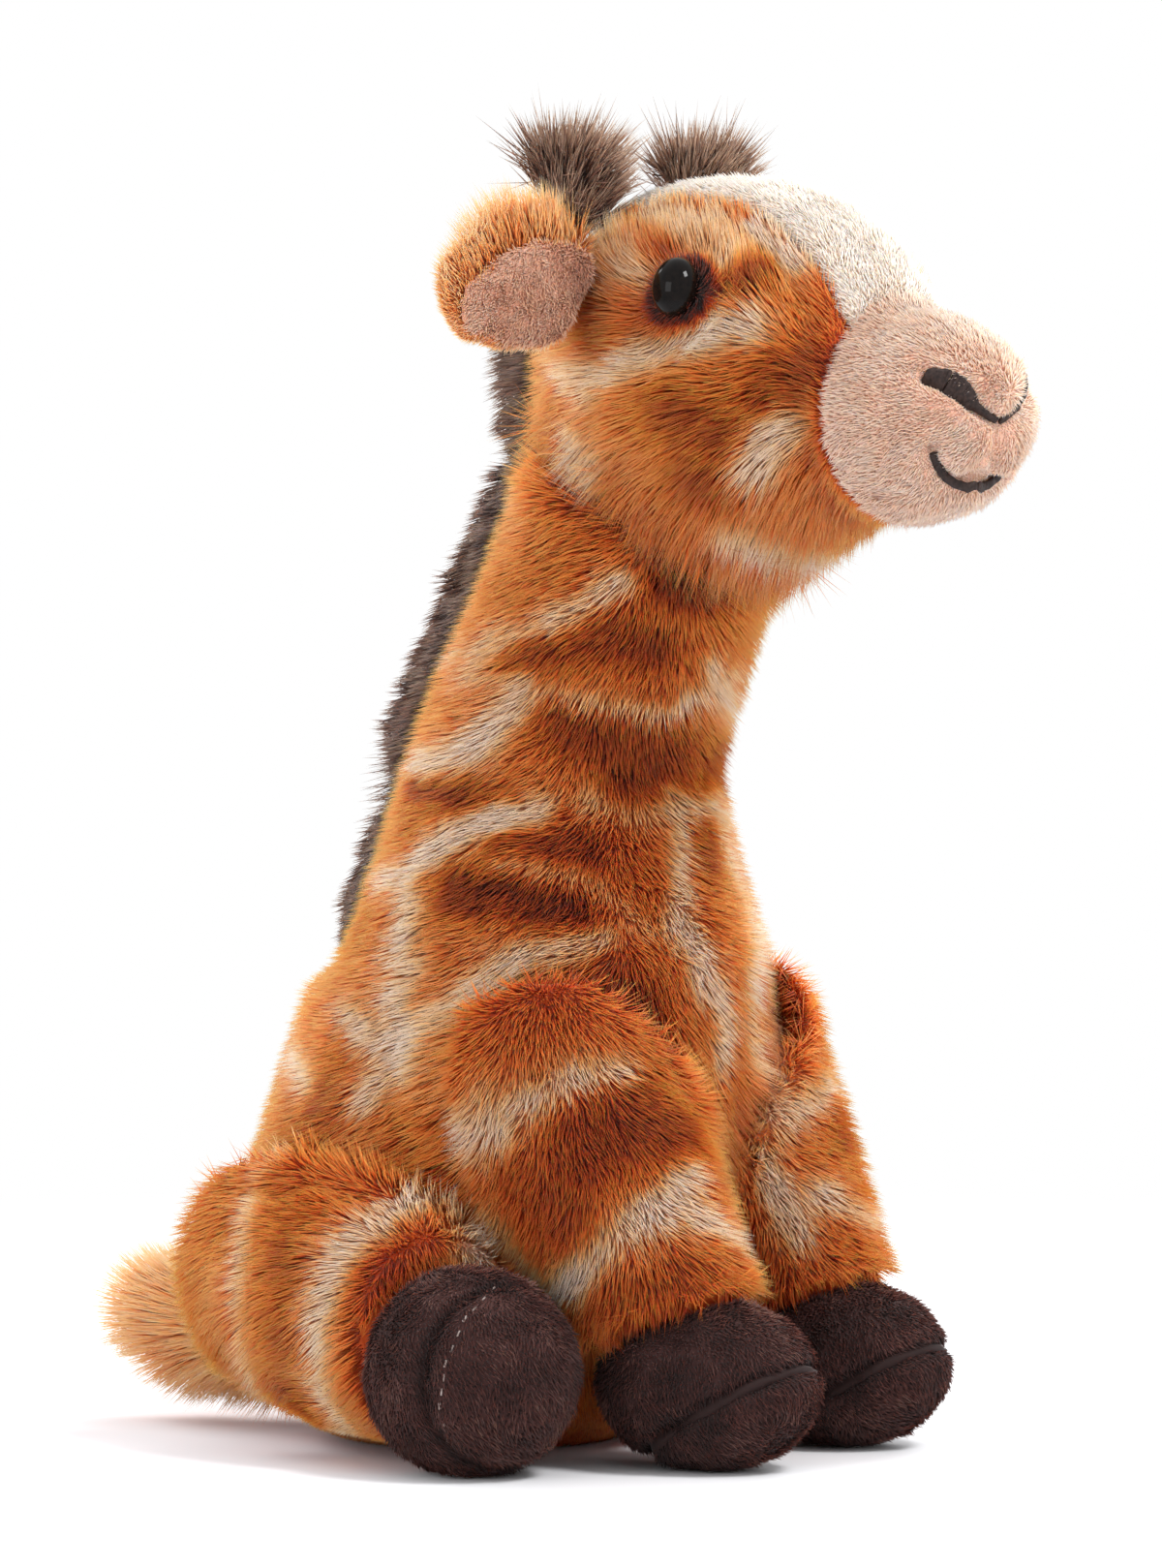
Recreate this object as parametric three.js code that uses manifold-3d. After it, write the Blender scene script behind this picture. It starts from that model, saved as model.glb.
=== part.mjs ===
// A sitting plush giraffe: stuffed bags of pile fabric, sewn together at the neck, shoulders,
// hips, ears and tail. Millimetres, Z up; the animal faces -Y and its own left side is +X.
import * as THREE from 'three';
import { mergeVertices } from 'three/addons/utils/BufferGeometryUtils.js';
import ManifoldModule from 'manifold-3d';

const wasm = await ManifoldModule();
wasm.setup();

// Fabric. Outlines run through the middle of the pile.
const LONG_SKIN = 3;
const SHORT_SKIN = 2;
const GAP = 0.3;

// Torso and neck in one bag: [x, y, z, half width, half depth] from the seat up to the nape.
const BODY = [
  [0, 13, 14, 45, 46],
  [0, 14, 35, 48, 49.5],
  [0, 12, 58, 48, 51.5],
  [0, 0, 80, 45.5, 49.5],
  [0, -4, 100, 41.5, 45.5],
  [0, -4.5, 120, 36, 38.5],
  [0, -6.5, 140, 31.5, 33.5],
  [0, -11.5, 154, 30, 30.5],
  [0, -17, 167, 29.5, 29.5],
  [0, -22.5, 180, 29, 29],
  [0, -27, 191, 28.5, 29],
];
const BODY_CAPS = [18, 14];
const SEAT_RADIUS = 26;
const PELLET_RADIUS = 31;
const PELLET_HEIGHT = 22;

// The neck bends over a ball of stuffing in the top of the torso.
const NECK_BALL = new THREE.Vector3(0, -3.5, 97);
const NECK_BALL_RADIUS = 50;
const NECK_BEND = [-10, 10];

// Head, drawn facing straight ahead and then turned to the animal's right on the neck, round
// which it has some play.
const HEAD_PLAY = 0.6;
const HEAD_TURN = -9;
const HEAD_PIVOT_Y = -18;
const HEAD = [
  [0, -13, 223, 18.5, 26],
  [0, -24, 221, 27, 35.5],
  [0, -40, 218.5, 33, 40],
  [0, -57, 217, 34.5, 40.5],
  [0, -70, 215.5, 32.5, 37],
  [0, -82, 213, 27, 28.5],
  [0, -94, 210.5, 21, 18],
];
const HEAD_CAPS = [9, 10];
const MUZZLE_CENTRE = new THREE.Vector3(0, -95, 209.5);
const MUZZLE_HALF = new THREE.Vector3(25.5, 24, 21);
const MUZZLE_SEAM_Y = -92.5;
const FOREHEAD_BACK_Y = -26;
const FOREHEAD_HALF_BACK = 11;
const FOREHEAD_HALF_FRONT = 15;

const EYE_Y = -59;
const EYE_Z = 234.5;
const EYE_RADIUS = 5.8;
const EYE_RISE = 4;
const EYE_AIM = new THREE.Vector3(-0.88, -0.2, 0.42).normalize();
const SHANK_RADIUS = 1.5;
const SHANK_LENGTH = 9;
const WASHER_RADIUS = 5.5;
const WASHER_THICKNESS = 1.5;

// Right ear, from the head outwards: thin fore and aft, broad up and down, drooping at the tip.
const EAR = [
  [-23, -30, 236, 4.6, 7.5],
  [-36.5, -31.5, 235, 5, 11],
  [-50, -32.5, 233, 4.8, 10.5],
  [-60, -33, 231, 4, 7],
];
const EAR_CAPS = [4, 8];
const EAR_LINING_OFFSET = 1.2;
const EAR_FLAP = [-20, 20];

const HORN = [
  [-20, -23.5, 249, 7.5, 5],
  [-20, -23.5, 261, 10, 6],
  [-20.5, -23, 268, 10.5, 6],
];
const HORN_CAPS = [4, 5];

// Mane ridge in three lengths of one sewn strip: torso, neck and back of the head.
const MANE_HALF_WIDTH = 5;
const MANE_HALF_DEPTH = 6.5;
const MANE_TORSO = [[0, 43, 110], [0, 39.5, 118], [0, 36.5, 125]];
const MANE_NECK = [[0, 30, 147], [0, 24.5, 158], [0, 17.5, 172], [0, 10, 186], [0, 6, 195]];
const MANE_HEAD = [[0, 0.5, 208], [0, 2.5, 216], [0, 3, 225], [0, 0.5, 237]];

// Right front leg, from the shoulder to the ankle, and its hoof.
const FRONT_LEG = [
  [-28, -21, 84, 23.5, 24.5],
  [-28, -29, 63, 24.5, 25.5],
  [-27.5, -39, 43, 22.5, 23],
  [-26.5, -48.5, 28, 19.5, 20],
];
const FRONT_LEG_CAPS = [18, 12];
const SHOULDER = new THREE.Vector3(-28, -19, 84);
const FRONT_SWING = [0, 40];
const FRONT_HOOF_CENTRE = new THREE.Vector3(-26.5, -56, 17);
const FRONT_HOOF_HALF = new THREE.Vector3(19, 23.5, 17.5);
const FRONT_CUFF = new THREE.Vector3(-26.5, -52.5, 29.5);
const FRONT_CUFF_AIM = new THREE.Vector3(0, -0.39, -0.92).normalize();
const FRONT_SOLE = new THREE.Vector3(-26.5, -72, 18);
const FRONT_SOLE_AIM = new THREE.Vector3(0, -0.5, -0.87).normalize();

// Right hind leg, lying forward along the floor from the hip, and its hoof.
const HIND_LEG = [
  [-30, 39, 39, 26.5, 28],
  [-38, 22, 34, 29.5, 30],
  [-47, 5, 29.5, 26.5, 27],
  [-53, -8, 25, 22.5, 22.5],
  [-57.5, -17, 22, 20, 20],
];
const HIND_LEG_CAPS = [20, 10];
const HIP = new THREE.Vector3(-36, 26, 30);
const HIND_SPLAY = [0, 25];
const HIND_HOOF_CENTRE = new THREE.Vector3(-60, -21, 20.4);
const HIND_HOOF_HALF = new THREE.Vector3(21, 24, 21);
const HIND_HEADING = 25;
const HIND_CUFF_BACK = 10;
const HIND_SOLE_FRONT = 11;

// Flat place where the front leg's back presses against the thigh.
const LEG_PARTING = new THREE.Vector3(-39.2, -17.3, 40.6);
const LEG_PARTING_AIM = new THREE.Vector3(0.45, -0.74, 0.5).normalize();

const TAIL = [
  [0, 56, 23, 12, 12],
  [0, 70, 21, 14, 14],
  [0, 86, 21, 13.5, 13.5],
  [0, 96, 23, 10.5, 10.5],
];
const TAIL_CAPS = [8, 9];
const TAIL_ROOT = new THREE.Vector3(0, 58, 22);
const TAIL_WAG = [-25, 25];

const X_AXIS = new THREE.Vector3(1, 0, 0);
const Y_AXIS = new THREE.Vector3(0, 1, 0);
const Z_AXIS = new THREE.Vector3(0, 0, 1);
const BLOCK = 600;

// A stuffed bag: elliptical rings along a smooth spine and a rounded cap at each end.
// `grow` swells the whole bag, or shrinks it when negative; `across` sets the width direction.
function stuffedForm(stations, { caps, around = 20, rings = 10, grow = 0, across = X_AXIS }) {
  const capRings = 3;
  const spine = new THREE.CatmullRomCurve3(
    stations.map(([x, y, z]) => new THREE.Vector3(x, y, z)), false, 'catmullrom');
  const girth = new THREE.CatmullRomCurve3(
    stations.map(([, , , wide, deep]) => new THREE.Vector3(wide, deep, 0)), false, 'catmullrom');
  const points = [];
  const addRing = (t, along, swell) => {
    const tangent = spine.getTangent(t);
    const centre = spine.getPoint(t).addScaledVector(tangent, along);
    const size = girth.getPoint(t);
    const side = across.clone().addScaledVector(tangent, -across.dot(tangent)).normalize();
    const front = new THREE.Vector3().crossVectors(tangent, side);
    const steps = swell > 0 ? around : 1;
    for (let j = 0; j < steps; j += 1) {
      const angle = (2 * Math.PI * j) / around;
      const point = centre.clone()
        .addScaledVector(side, (size.x + grow) * swell * Math.cos(angle))
        .addScaledVector(front, (size.y + grow) * swell * Math.sin(angle));
      points.push(point.x, point.y, point.z);
    }
  };
  for (let k = 0; k < capRings; k += 1) {
    const lean = (Math.PI / 2) * (k / capRings);
    addRing(0, -(caps[0] + grow) * Math.cos(lean), Math.sin(lean));
  }
  for (let i = 0; i <= rings; i += 1) {
    addRing(i / rings, 0, 1);
  }
  for (let k = capRings - 1; k >= 0; k -= 1) {
    const lean = (Math.PI / 2) * (k / capRings);
    addRing(1, (caps[1] + grow) * Math.cos(lean), Math.sin(lean));
  }
  const rows = rings + 2 * capRings - 1;
  const last = points.length / 3 - 1;
  const faces = [];
  for (let j = 0; j < around; j += 1) {
    const next = (j + 1) % around;
    faces.push(0, 1 + next, 1 + j);
    for (let i = 0; i < rows - 1; i += 1) {
      const low = 1 + i * around;
      const high = low + around;
      faces.push(low + j, low + next, high + next, low + j, high + next, high + j);
    }
    const top = 1 + (rows - 1) * around;
    faces.push(last, top + j, top + next);
  }
  const geometry = new THREE.BufferGeometry();
  geometry.setAttribute('position', new THREE.Float32BufferAttribute(points, 3));
  geometry.setIndex(faces);
  return geometry;
}

function ellipsoid(centre, half, grow = 0, around = 18, rows = 10) {
  const geometry = new THREE.SphereGeometry(1, around, rows);
  geometry.scale(half.x + grow, half.y + grow, half.z + grow);
  return geometry.translate(centre.x, centre.y, centre.z);
}

// Everything on the side of `point` that `aim` points to, moved along it by `shift`.
function halfSpace(point, aim, shift = 0) {
  const geometry = new THREE.BoxGeometry(BLOCK, BLOCK, BLOCK);
  geometry.translate(0, 0, BLOCK / 2 + shift);
  geometry.applyQuaternion(new THREE.Quaternion().setFromUnitVectors(Z_AXIS, aim));
  return geometry.translate(point.x, point.y, point.z);
}

function turned(geometry, pivot, axis, degrees) {
  const turn = new THREE.Quaternion().setFromAxisAngle(axis, THREE.MathUtils.degToRad(degrees));
  return geometry.clone().translate(-pivot.x, -pivot.y, -pivot.z)
    .applyQuaternion(turn).translate(pivot.x, pivot.y, pivot.z);
}

function mirrored(geometry) {
  const copy = geometry.clone().scale(-1, 1, 1);
  const index = copy.index.array;
  for (let i = 0; i < index.length; i += 3) {
    [index[i], index[i + 1]] = [index[i + 1], index[i]];
  }
  return copy;
}

function solidOf(geometry) {
  const bare = geometry.clone();
  bare.deleteAttribute('normal');
  bare.deleteAttribute('uv');
  const welded = mergeVertices(bare, 1e-4);
  return new wasm.Manifold(new wasm.Mesh({
    numProp: 3,
    vertProperties: Float32Array.from(welded.attributes.position.array),
    triVerts: Uint32Array.from(welded.index.array),
  }));
}

function geometryOf(solid) {
  const mesh = solid.getMesh();
  const geometry = new THREE.BufferGeometry();
  geometry.setAttribute('position', new THREE.Float32BufferAttribute(mesh.vertProperties, 3));
  geometry.setIndex(Array.from(mesh.triVerts));
  return geometry;
}

// Trims a limb so that it stays clear of `obstacle` through the whole of its swing.
function clearOfSwing(limb, obstacle, pivot, axis, [from, to], steps) {
  let trimmed = limb;
  for (let k = 0; k <= steps; k += 1) {
    const angle = from + ((to - from) * k) / steps;
    trimmed = trimmed.subtract(solidOf(turned(obstacle, pivot, axis, -angle)));
  }
  return trimmed;
}

const part = new THREE.Group();
part.name = 'plush_giraffe';
const assembly = new THREE.Group();
assembly.name = 'assembly';
part.add(assembly);

// A cut can leave a crumb beside the piece; only the piece is kept.
function addPiece(name, solid, material) {
  const [piece] = solid.decompose().sort((a, b) => b.volume() - a.volume());
  const geometry = geometryOf(piece);
  geometry.computeVertexNormals();
  const mesh = new THREE.Mesh(geometry, material);
  mesh.name = name;
  assembly.add(mesh);
}

function cloth(colour, roughness = 0.95) {
  return new THREE.MeshStandardMaterial({ color: colour, roughness, metalness: 0 });
}
const printedPile = cloth('#b9611d');
const darkPile = cloth('#463230');
const creamPile = cloth('#f5e4d8');
const beigePile = cloth('#debea8');
const mauvePile = cloth('#b98c78');
const hoofPile = cloth('#3e2d28');
const stuffing = cloth('#f1efe9');
const pelletCloth = cloth('#d9d4c8');
const blackPlastic = cloth('#0c0a0a', 0.12);
const whitePlastic = cloth('#dcdcd6', 0.5);

const floor = solidOf(halfSpace(new THREE.Vector3(), new THREE.Vector3(0, 0, -1)));

// Torso: the bag of the body up to the ball under the neck, a flat seat panel sewn into its
// bottom, stuffing, and a bag of pellets low in the stuffing that keeps the toy upright.
const bodyForm = (grow, around = 22, rings = 12) => (
  stuffedForm(BODY, { caps: BODY_CAPS, around, rings, grow }));
const body = solidOf(bodyForm(0));
const bodyCavity = solidOf(bodyForm(-LONG_SKIN, 14, 8));
const bodyFill = solidOf(bodyForm(-LONG_SKIN - GAP, 14, 8));
const neckBall = (grow) => {
  const geometry = new THREE.SphereGeometry(NECK_BALL_RADIUS + grow, 32, 10);
  geometry.rotateZ(Math.PI / 2);
  return solidOf(geometry.translate(NECK_BALL.x, NECK_BALL.y, NECK_BALL.z));
};
const aboveBall = solidOf(halfSpace(NECK_BALL, Z_AXIS));
const belowNeck = aboveBall.subtract(neckBall(0));

const seatCentre = new THREE.Vector3(0, BODY[0][1], 0);
const upright = (radius, bottom, top, around = 24) => {
  const geometry = new THREE.CylinderGeometry(radius, radius, top - bottom, around);
  geometry.rotateX(Math.PI / 2);
  return geometry.translate(seatCentre.x, seatCentre.y, (top + bottom) / 2);
};
const seatHole = solidOf(upright(SEAT_RADIUS + GAP, -1, LONG_SKIN + GAP));
const seatTop = LONG_SKIN + GAP;
const pelletCentre = new THREE.Vector3(0, seatCentre.y, seatTop + PELLET_HEIGHT / 2);
const pelletHalf = new THREE.Vector3(PELLET_RADIUS, PELLET_RADIUS, PELLET_HEIGHT / 2);
const pelletPocket = solidOf(ellipsoid(pelletCentre, pelletHalf, GAP, 16, 6))
  .add(solidOf(upright(PELLET_RADIUS + GAP, -1, pelletCentre.z, 16)));
const aboveSeat = solidOf(halfSpace(new THREE.Vector3(0, 0, seatTop), Z_AXIS));

addPiece('torso_skin',
  body.subtract(belowNeck).subtract(bodyCavity).subtract(floor).subtract(seatHole), printedPile);
addPiece('seat_panel', solidOf(upright(SEAT_RADIUS, 0, LONG_SKIN)), printedPile);
addPiece('torso_stuffing',
  bodyFill.subtract(belowNeck).intersect(aboveSeat).subtract(pelletPocket), stuffing);
addPiece('pellet_bag', solidOf(ellipsoid(pelletCentre, pelletHalf, 0, 16, 6)), pelletCloth);

// Neck: the upper length of the same bag, hollowed below to ride on the ball of the torso.
const neckSolid = body.intersect(aboveBall).subtract(neckBall(GAP));
addPiece('neck_skin', neckSolid.subtract(bodyCavity), printedPile);
addPiece('neck_stuffing',
  bodyFill.intersect(aboveBall).subtract(neckBall(GAP)), stuffing);

// Head: patterned cheeks and back, a cream gusset over the forehead and a rounded muzzle, all
// one hollow over the top of the neck. Everything on the head is turned together.
const headPivot = new THREE.Vector3(0, HEAD_PIVOT_Y, 0);
const onHead = (geometry) => turned(geometry, headPivot, Z_AXIS, HEAD_TURN);
const headForm = (grow, around, rings) => (
  stuffedForm(HEAD, { caps: HEAD_CAPS, around, rings, grow }));
const headVolume = (grow, around, rings) => (
  solidOf(onHead(headForm(grow, around, rings)))
    .add(solidOf(onHead(ellipsoid(MUZZLE_CENTRE, MUZZLE_HALF, grow, around - 2, rings)))));
const neckSocket = solidOf(bodyForm(HEAD_PLAY));
const headSolid = headVolume(0, 20, 8);
const headCavity = headVolume(-LONG_SKIN, 12, 5);
const headShell = headSolid.subtract(headCavity).subtract(neckSocket);
const muzzleSeam = new THREE.Vector3(0, MUZZLE_SEAM_Y, 0);
const inFront = new THREE.Vector3(0, -1, 0);
const foreheadBlock = (grow) => {
  const outline = new THREE.Shape([
    new THREE.Vector2(-FOREHEAD_HALF_BACK - grow, FOREHEAD_BACK_Y + grow),
    new THREE.Vector2(-FOREHEAD_HALF_FRONT - grow, MUZZLE_SEAM_Y - 1),
    new THREE.Vector2(FOREHEAD_HALF_FRONT + grow, MUZZLE_SEAM_Y - 1),
    new THREE.Vector2(FOREHEAD_HALF_BACK + grow, FOREHEAD_BACK_Y + grow),
  ]);
  const geometry = new THREE.ExtrudeGeometry(outline, { depth: 80, bevelEnabled: false });
  return mergeVertices(geometry.translate(0, 0, MUZZLE_CENTRE.z));
};
const behindSeam = headShell.subtract(solidOf(onHead(halfSpace(muzzleSeam, inFront, -GAP))));

// Safety eyes: a domed button whose shank passes through the cover into a lock washer.
const girthAt = (stations, y) => {
  const i = Math.max(1, stations.findIndex((station) => station[1] <= y));
  const blend = (stations[i - 1][1] - y) / (stations[i - 1][1] - stations[i][1]);
  return stations[i].map((value, k) => THREE.MathUtils.lerp(stations[i - 1][k], value, blend));
};
const [, , eyeMidZ, eyeHalfWidth, eyeHalfHeight] = girthAt(HEAD, EYE_Y);
const eyeReach = eyeHalfWidth * Math.sqrt(1 - ((EYE_Z - eyeMidZ) / eyeHalfHeight) ** 2);
const eyeSeat = new THREE.Vector3(-eyeReach, EYE_Y, EYE_Z).addScaledVector(EYE_AIM, GAP);
const turnedProfile = (profile, around = 12) => {
  const geometry = new THREE.LatheGeometry(
    profile.map(([radius, height]) => new THREE.Vector2(radius, height)), around);
  geometry.applyQuaternion(new THREE.Quaternion().setFromUnitVectors(Y_AXIS, EYE_AIM));
  return mergeVertices(geometry.translate(eyeSeat.x, eyeSeat.y, eyeSeat.z));
};
const domePoints = [0, 0.35, 0.7, 1.05, Math.PI / 2].map((lean) => (
  [EYE_RADIUS * Math.cos(lean), EYE_RISE * Math.sin(lean)]));
domePoints[domePoints.length - 1][0] = 0;
const eyeForm = turnedProfile([
  [0, -SHANK_LENGTH], [SHANK_RADIUS, -SHANK_LENGTH], [SHANK_RADIUS, 0], ...domePoints]);
const shankHole = turnedProfile([
  [0, -SHANK_LENGTH - GAP], [SHANK_RADIUS + GAP, -SHANK_LENGTH - GAP], [SHANK_RADIUS + GAP, GAP],
  [0, GAP]]);
const washerTop = -(LONG_SKIN + 2 * GAP);
const washerBottom = washerTop - WASHER_THICKNESS;
const washerForm = turnedProfile([
  [0, washerBottom], [WASHER_RADIUS, washerBottom], [WASHER_RADIUS, washerTop], [0, washerTop]]);
const washerPocket = turnedProfile([
  [0, -SHANK_LENGTH - GAP], [WASHER_RADIUS + GAP, -SHANK_LENGTH - GAP],
  [WASHER_RADIUS + GAP, washerTop + GAP], [0, washerTop + GAP]]);

const bothSides = (geometry) => solidOf(onHead(geometry)).add(solidOf(onHead(mirrored(geometry))));
addPiece('head_skin',
  behindSeam.subtract(solidOf(onHead(foreheadBlock(GAP)))).subtract(bothSides(shankHole))
    .subtract(bothSides(washerPocket)),
  printedPile);
addPiece('forehead_panel', behindSeam.intersect(solidOf(onHead(foreheadBlock(0)))), creamPile);
addPiece('muzzle_skin',
  headShell.intersect(solidOf(onHead(halfSpace(muzzleSeam, inFront)))), beigePile);
addPiece('head_stuffing',
  headVolume(-LONG_SKIN - GAP, 12, 5).subtract(neckSocket).subtract(bothSides(shankHole))
    .subtract(bothSides(washerPocket)),
  stuffing);

const headObstacle = onHead(headForm(GAP, 20, 8));
const headClear = solidOf(headObstacle);
const earPivot = new THREE.Vector3(EAR[0][0], EAR[0][1], EAR[0][2]);
const earForm = stuffedForm(EAR, { caps: EAR_CAPS, around: 12, rings: 4, across: Y_AXIS });
const earTip = new THREE.Vector3(...EAR[EAR.length - 1].slice(0, 3));
const earFront = earTip.clone().sub(earPivot).cross(Z_AXIS).setZ(0).negate().normalize();
const inFrontOfEar = (shift) => halfSpace(earTip, earFront, EAR_LINING_OFFSET + shift);
const hornForm = stuffedForm(HORN, { caps: HORN_CAPS, around: 12, rings: 3 });
const faceAhead = Y_AXIS.clone().applyAxisAngle(Z_AXIS, THREE.MathUtils.degToRad(HEAD_TURN));
for (const side of ['right', 'left']) {
  const sided = (geometry) => onHead(side === 'right' ? geometry : mirrored(geometry));
  addPiece(`eye_${side}`, solidOf(sided(eyeForm)), blackPlastic);
  addPiece(`eye_washer_${side}`,
    solidOf(sided(washerForm)).subtract(solidOf(sided(shankHole))), whitePlastic);
  addPiece(`horn_tuft_${side}`, solidOf(sided(hornForm)).subtract(headClear), darkPile);
  const pivot = earPivot.clone();
  if (side === 'left') {
    pivot.x = -pivot.x;
  }
  const turn = THREE.MathUtils.degToRad(HEAD_TURN);
  pivot.sub(headPivot).applyAxisAngle(Z_AXIS, turn).add(headPivot);
  const ear = clearOfSwing(solidOf(sided(earForm)), headObstacle, pivot, faceAhead, EAR_FLAP, 4);
  addPiece(`ear_back_${side}`,
    ear.subtract(solidOf(sided(inFrontOfEar(-GAP)))), printedPile);
  addPiece(`ear_lining_${side}`,
    ear.intersect(solidOf(sided(inFrontOfEar(0)))), mauvePile);
}

// Mane: a strip of dark pile standing in the back seam, parted where the neck bends and turns.
const maneForm = (line) => stuffedForm(
  line.map(([x, y, z]) => [x, y, z, MANE_HALF_WIDTH, MANE_HALF_DEPTH]),
  { caps: [MANE_HALF_WIDTH, MANE_HALF_WIDTH], around: 8, rings: 4 });
const backSeam = solidOf(bodyForm(GAP));
const neckReach = geometryOf(backSeam.intersect(aboveBall).subtract(neckBall(0)));
const maneOnTorso = solidOf(maneForm(MANE_TORSO)).subtract(backSeam);
addPiece('mane_torso',
  clearOfSwing(maneOnTorso, neckReach, NECK_BALL, X_AXIS, NECK_BEND, 4), darkPile);
addPiece('mane_neck', solidOf(maneForm(MANE_NECK)).subtract(backSeam), darkPile);
addPiece('mane_head',
  solidOf(onHead(maneForm(MANE_HEAD))).subtract(headClear).subtract(neckSocket), darkPile);

// Legs and tail: each a cover sewn to the torso at its root, stuffed through to the hoof. The
// hoof is an upper and a sole of short dark pile, joined by a pinched seam.
const torsoSide = bodyForm(GAP);
const torsoDeep = bodyForm(GAP + LONG_SKIN, 18, 9);
function addLeg(side, kind, leg) {
  const sided = (geometry) => (side === 'right' ? geometry : mirrored(geometry));
  const pivot = leg.pivot.clone();
  const axis = leg.axis.clone();
  if (side === 'left') {
    pivot.x = -pivot.x;
    axis.z = -axis.z;
  }
  const sewn = (geometry, obstacle, steps) => clearOfSwing(
    solidOf(sided(geometry)), obstacle, pivot, axis, leg.range, steps).subtract(floor);
  const cuff = (shift) => solidOf(sided(leg.cuff(shift)));
  const sole = (shift) => solidOf(sided(leg.sole(shift)));
  const cover = sewn(leg.form(0, 14, 5), torsoSide, 4).subtract(solidOf(sided(leg.beside)));
  const cavity = solidOf(sided(leg.form(-LONG_SKIN, 8, 3)));
  addPiece(`${kind}_leg_skin_${side}`,
    cover.subtract(cavity).subtract(cuff(-GAP)), printedPile);
  const shoe = solidOf(sided(leg.hoof(0, 14, 7))).intersect(cuff(0)).subtract(floor);
  const shoeCavity = solidOf(sided(leg.hoof(-SHORT_SKIN, 8, 5)));
  const shoeShell = shoe.subtract(shoeCavity);
  addPiece(`${kind}_hoof_upper_${side}`, shoeShell.subtract(sole(-GAP)), hoofPile);
  addPiece(`${kind}_hoof_sole_${side}`, shoeShell.intersect(sole(0)), hoofPile);
  const shoePlug = solidOf(sided(leg.hoof(-SHORT_SKIN - GAP, 8, 5)));
  const legFill = sewn(leg.form(-LONG_SKIN - GAP, 8, 3), torsoDeep, 2)
    .subtract(cuff(-GAP).subtract(shoePlug));
  const shoeFill = shoePlug.intersect(cuff(-GAP)).subtract(floor);
  addPiece(`${kind}_leg_stuffing_${side}`, legFill.add(shoeFill), stuffing);
}

const frontLeg = {
  pivot: SHOULDER,
  axis: new THREE.Vector3(-1, 0, 0),
  range: FRONT_SWING,
  form: (grow, around, rings) => (
    stuffedForm(FRONT_LEG, { caps: FRONT_LEG_CAPS, around, rings, grow })),
  hoof: (grow, around, rows) => (
    ellipsoid(FRONT_HOOF_CENTRE, FRONT_HOOF_HALF, grow, around, rows)),
  cuff: (shift) => halfSpace(FRONT_CUFF, FRONT_CUFF_AIM, shift),
  sole: (shift) => halfSpace(FRONT_SOLE, FRONT_SOLE_AIM, shift),
  beside: halfSpace(LEG_PARTING, LEG_PARTING_AIM.clone().negate(), -GAP),
};
const hindAim = new THREE.Vector3(0, -1, 0)
  .applyAxisAngle(Z_AXIS, THREE.MathUtils.degToRad(-HIND_HEADING));
const hindLeg = {
  pivot: HIP,
  axis: new THREE.Vector3(0, 0, -1),
  range: HIND_SPLAY,
  form: (grow, around, rings) => (
    stuffedForm(HIND_LEG, { caps: HIND_LEG_CAPS, around, rings, grow })),
  hoof: (grow, around, rows) => turned(
    ellipsoid(HIND_HOOF_CENTRE, HIND_HOOF_HALF, grow, around, rows),
    HIND_HOOF_CENTRE, Z_AXIS, -HIND_HEADING),
  cuff: (shift) => halfSpace(HIND_HOOF_CENTRE, hindAim, shift - HIND_CUFF_BACK),
  sole: (shift) => halfSpace(HIND_HOOF_CENTRE, hindAim, shift + HIND_SOLE_FRONT),
  beside: halfSpace(LEG_PARTING, LEG_PARTING_AIM),
};
for (const side of ['right', 'left']) {
  addLeg(side, 'front', frontLeg);
  addLeg(side, 'hind', hindLeg);
}

const tailForm = (grow, around, rings) => (
  stuffedForm(TAIL, { caps: TAIL_CAPS, around, rings, grow }));
const sewnTail = (form, obstacle, steps) => clearOfSwing(
  solidOf(form), obstacle, TAIL_ROOT, Z_AXIS, TAIL_WAG, steps);
const tailCavity = solidOf(tailForm(-LONG_SKIN, 8, 3));
addPiece('tail_skin',
  sewnTail(tailForm(0, 14, 5), torsoSide, 4).subtract(tailCavity), printedPile);
addPiece('tail_stuffing',
  sewnTail(tailForm(-LONG_SKIN - GAP, 8, 3), torsoDeep, 2), stuffing);

// The origin lies on the floor under the middle of the whole toy.
const extent = new THREE.Box3().setFromObject(assembly);
const middle = extent.getCenter(new THREE.Vector3());
assembly.position.set(-middle.x, -middle.y, -extent.min.z);
part.updateMatrixWorld(true);

export default part;
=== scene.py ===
import math
import bmesh
import bpy
import numpy as np
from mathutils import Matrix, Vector, noise
from mathutils.bvhtree import BVHTree


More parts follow.
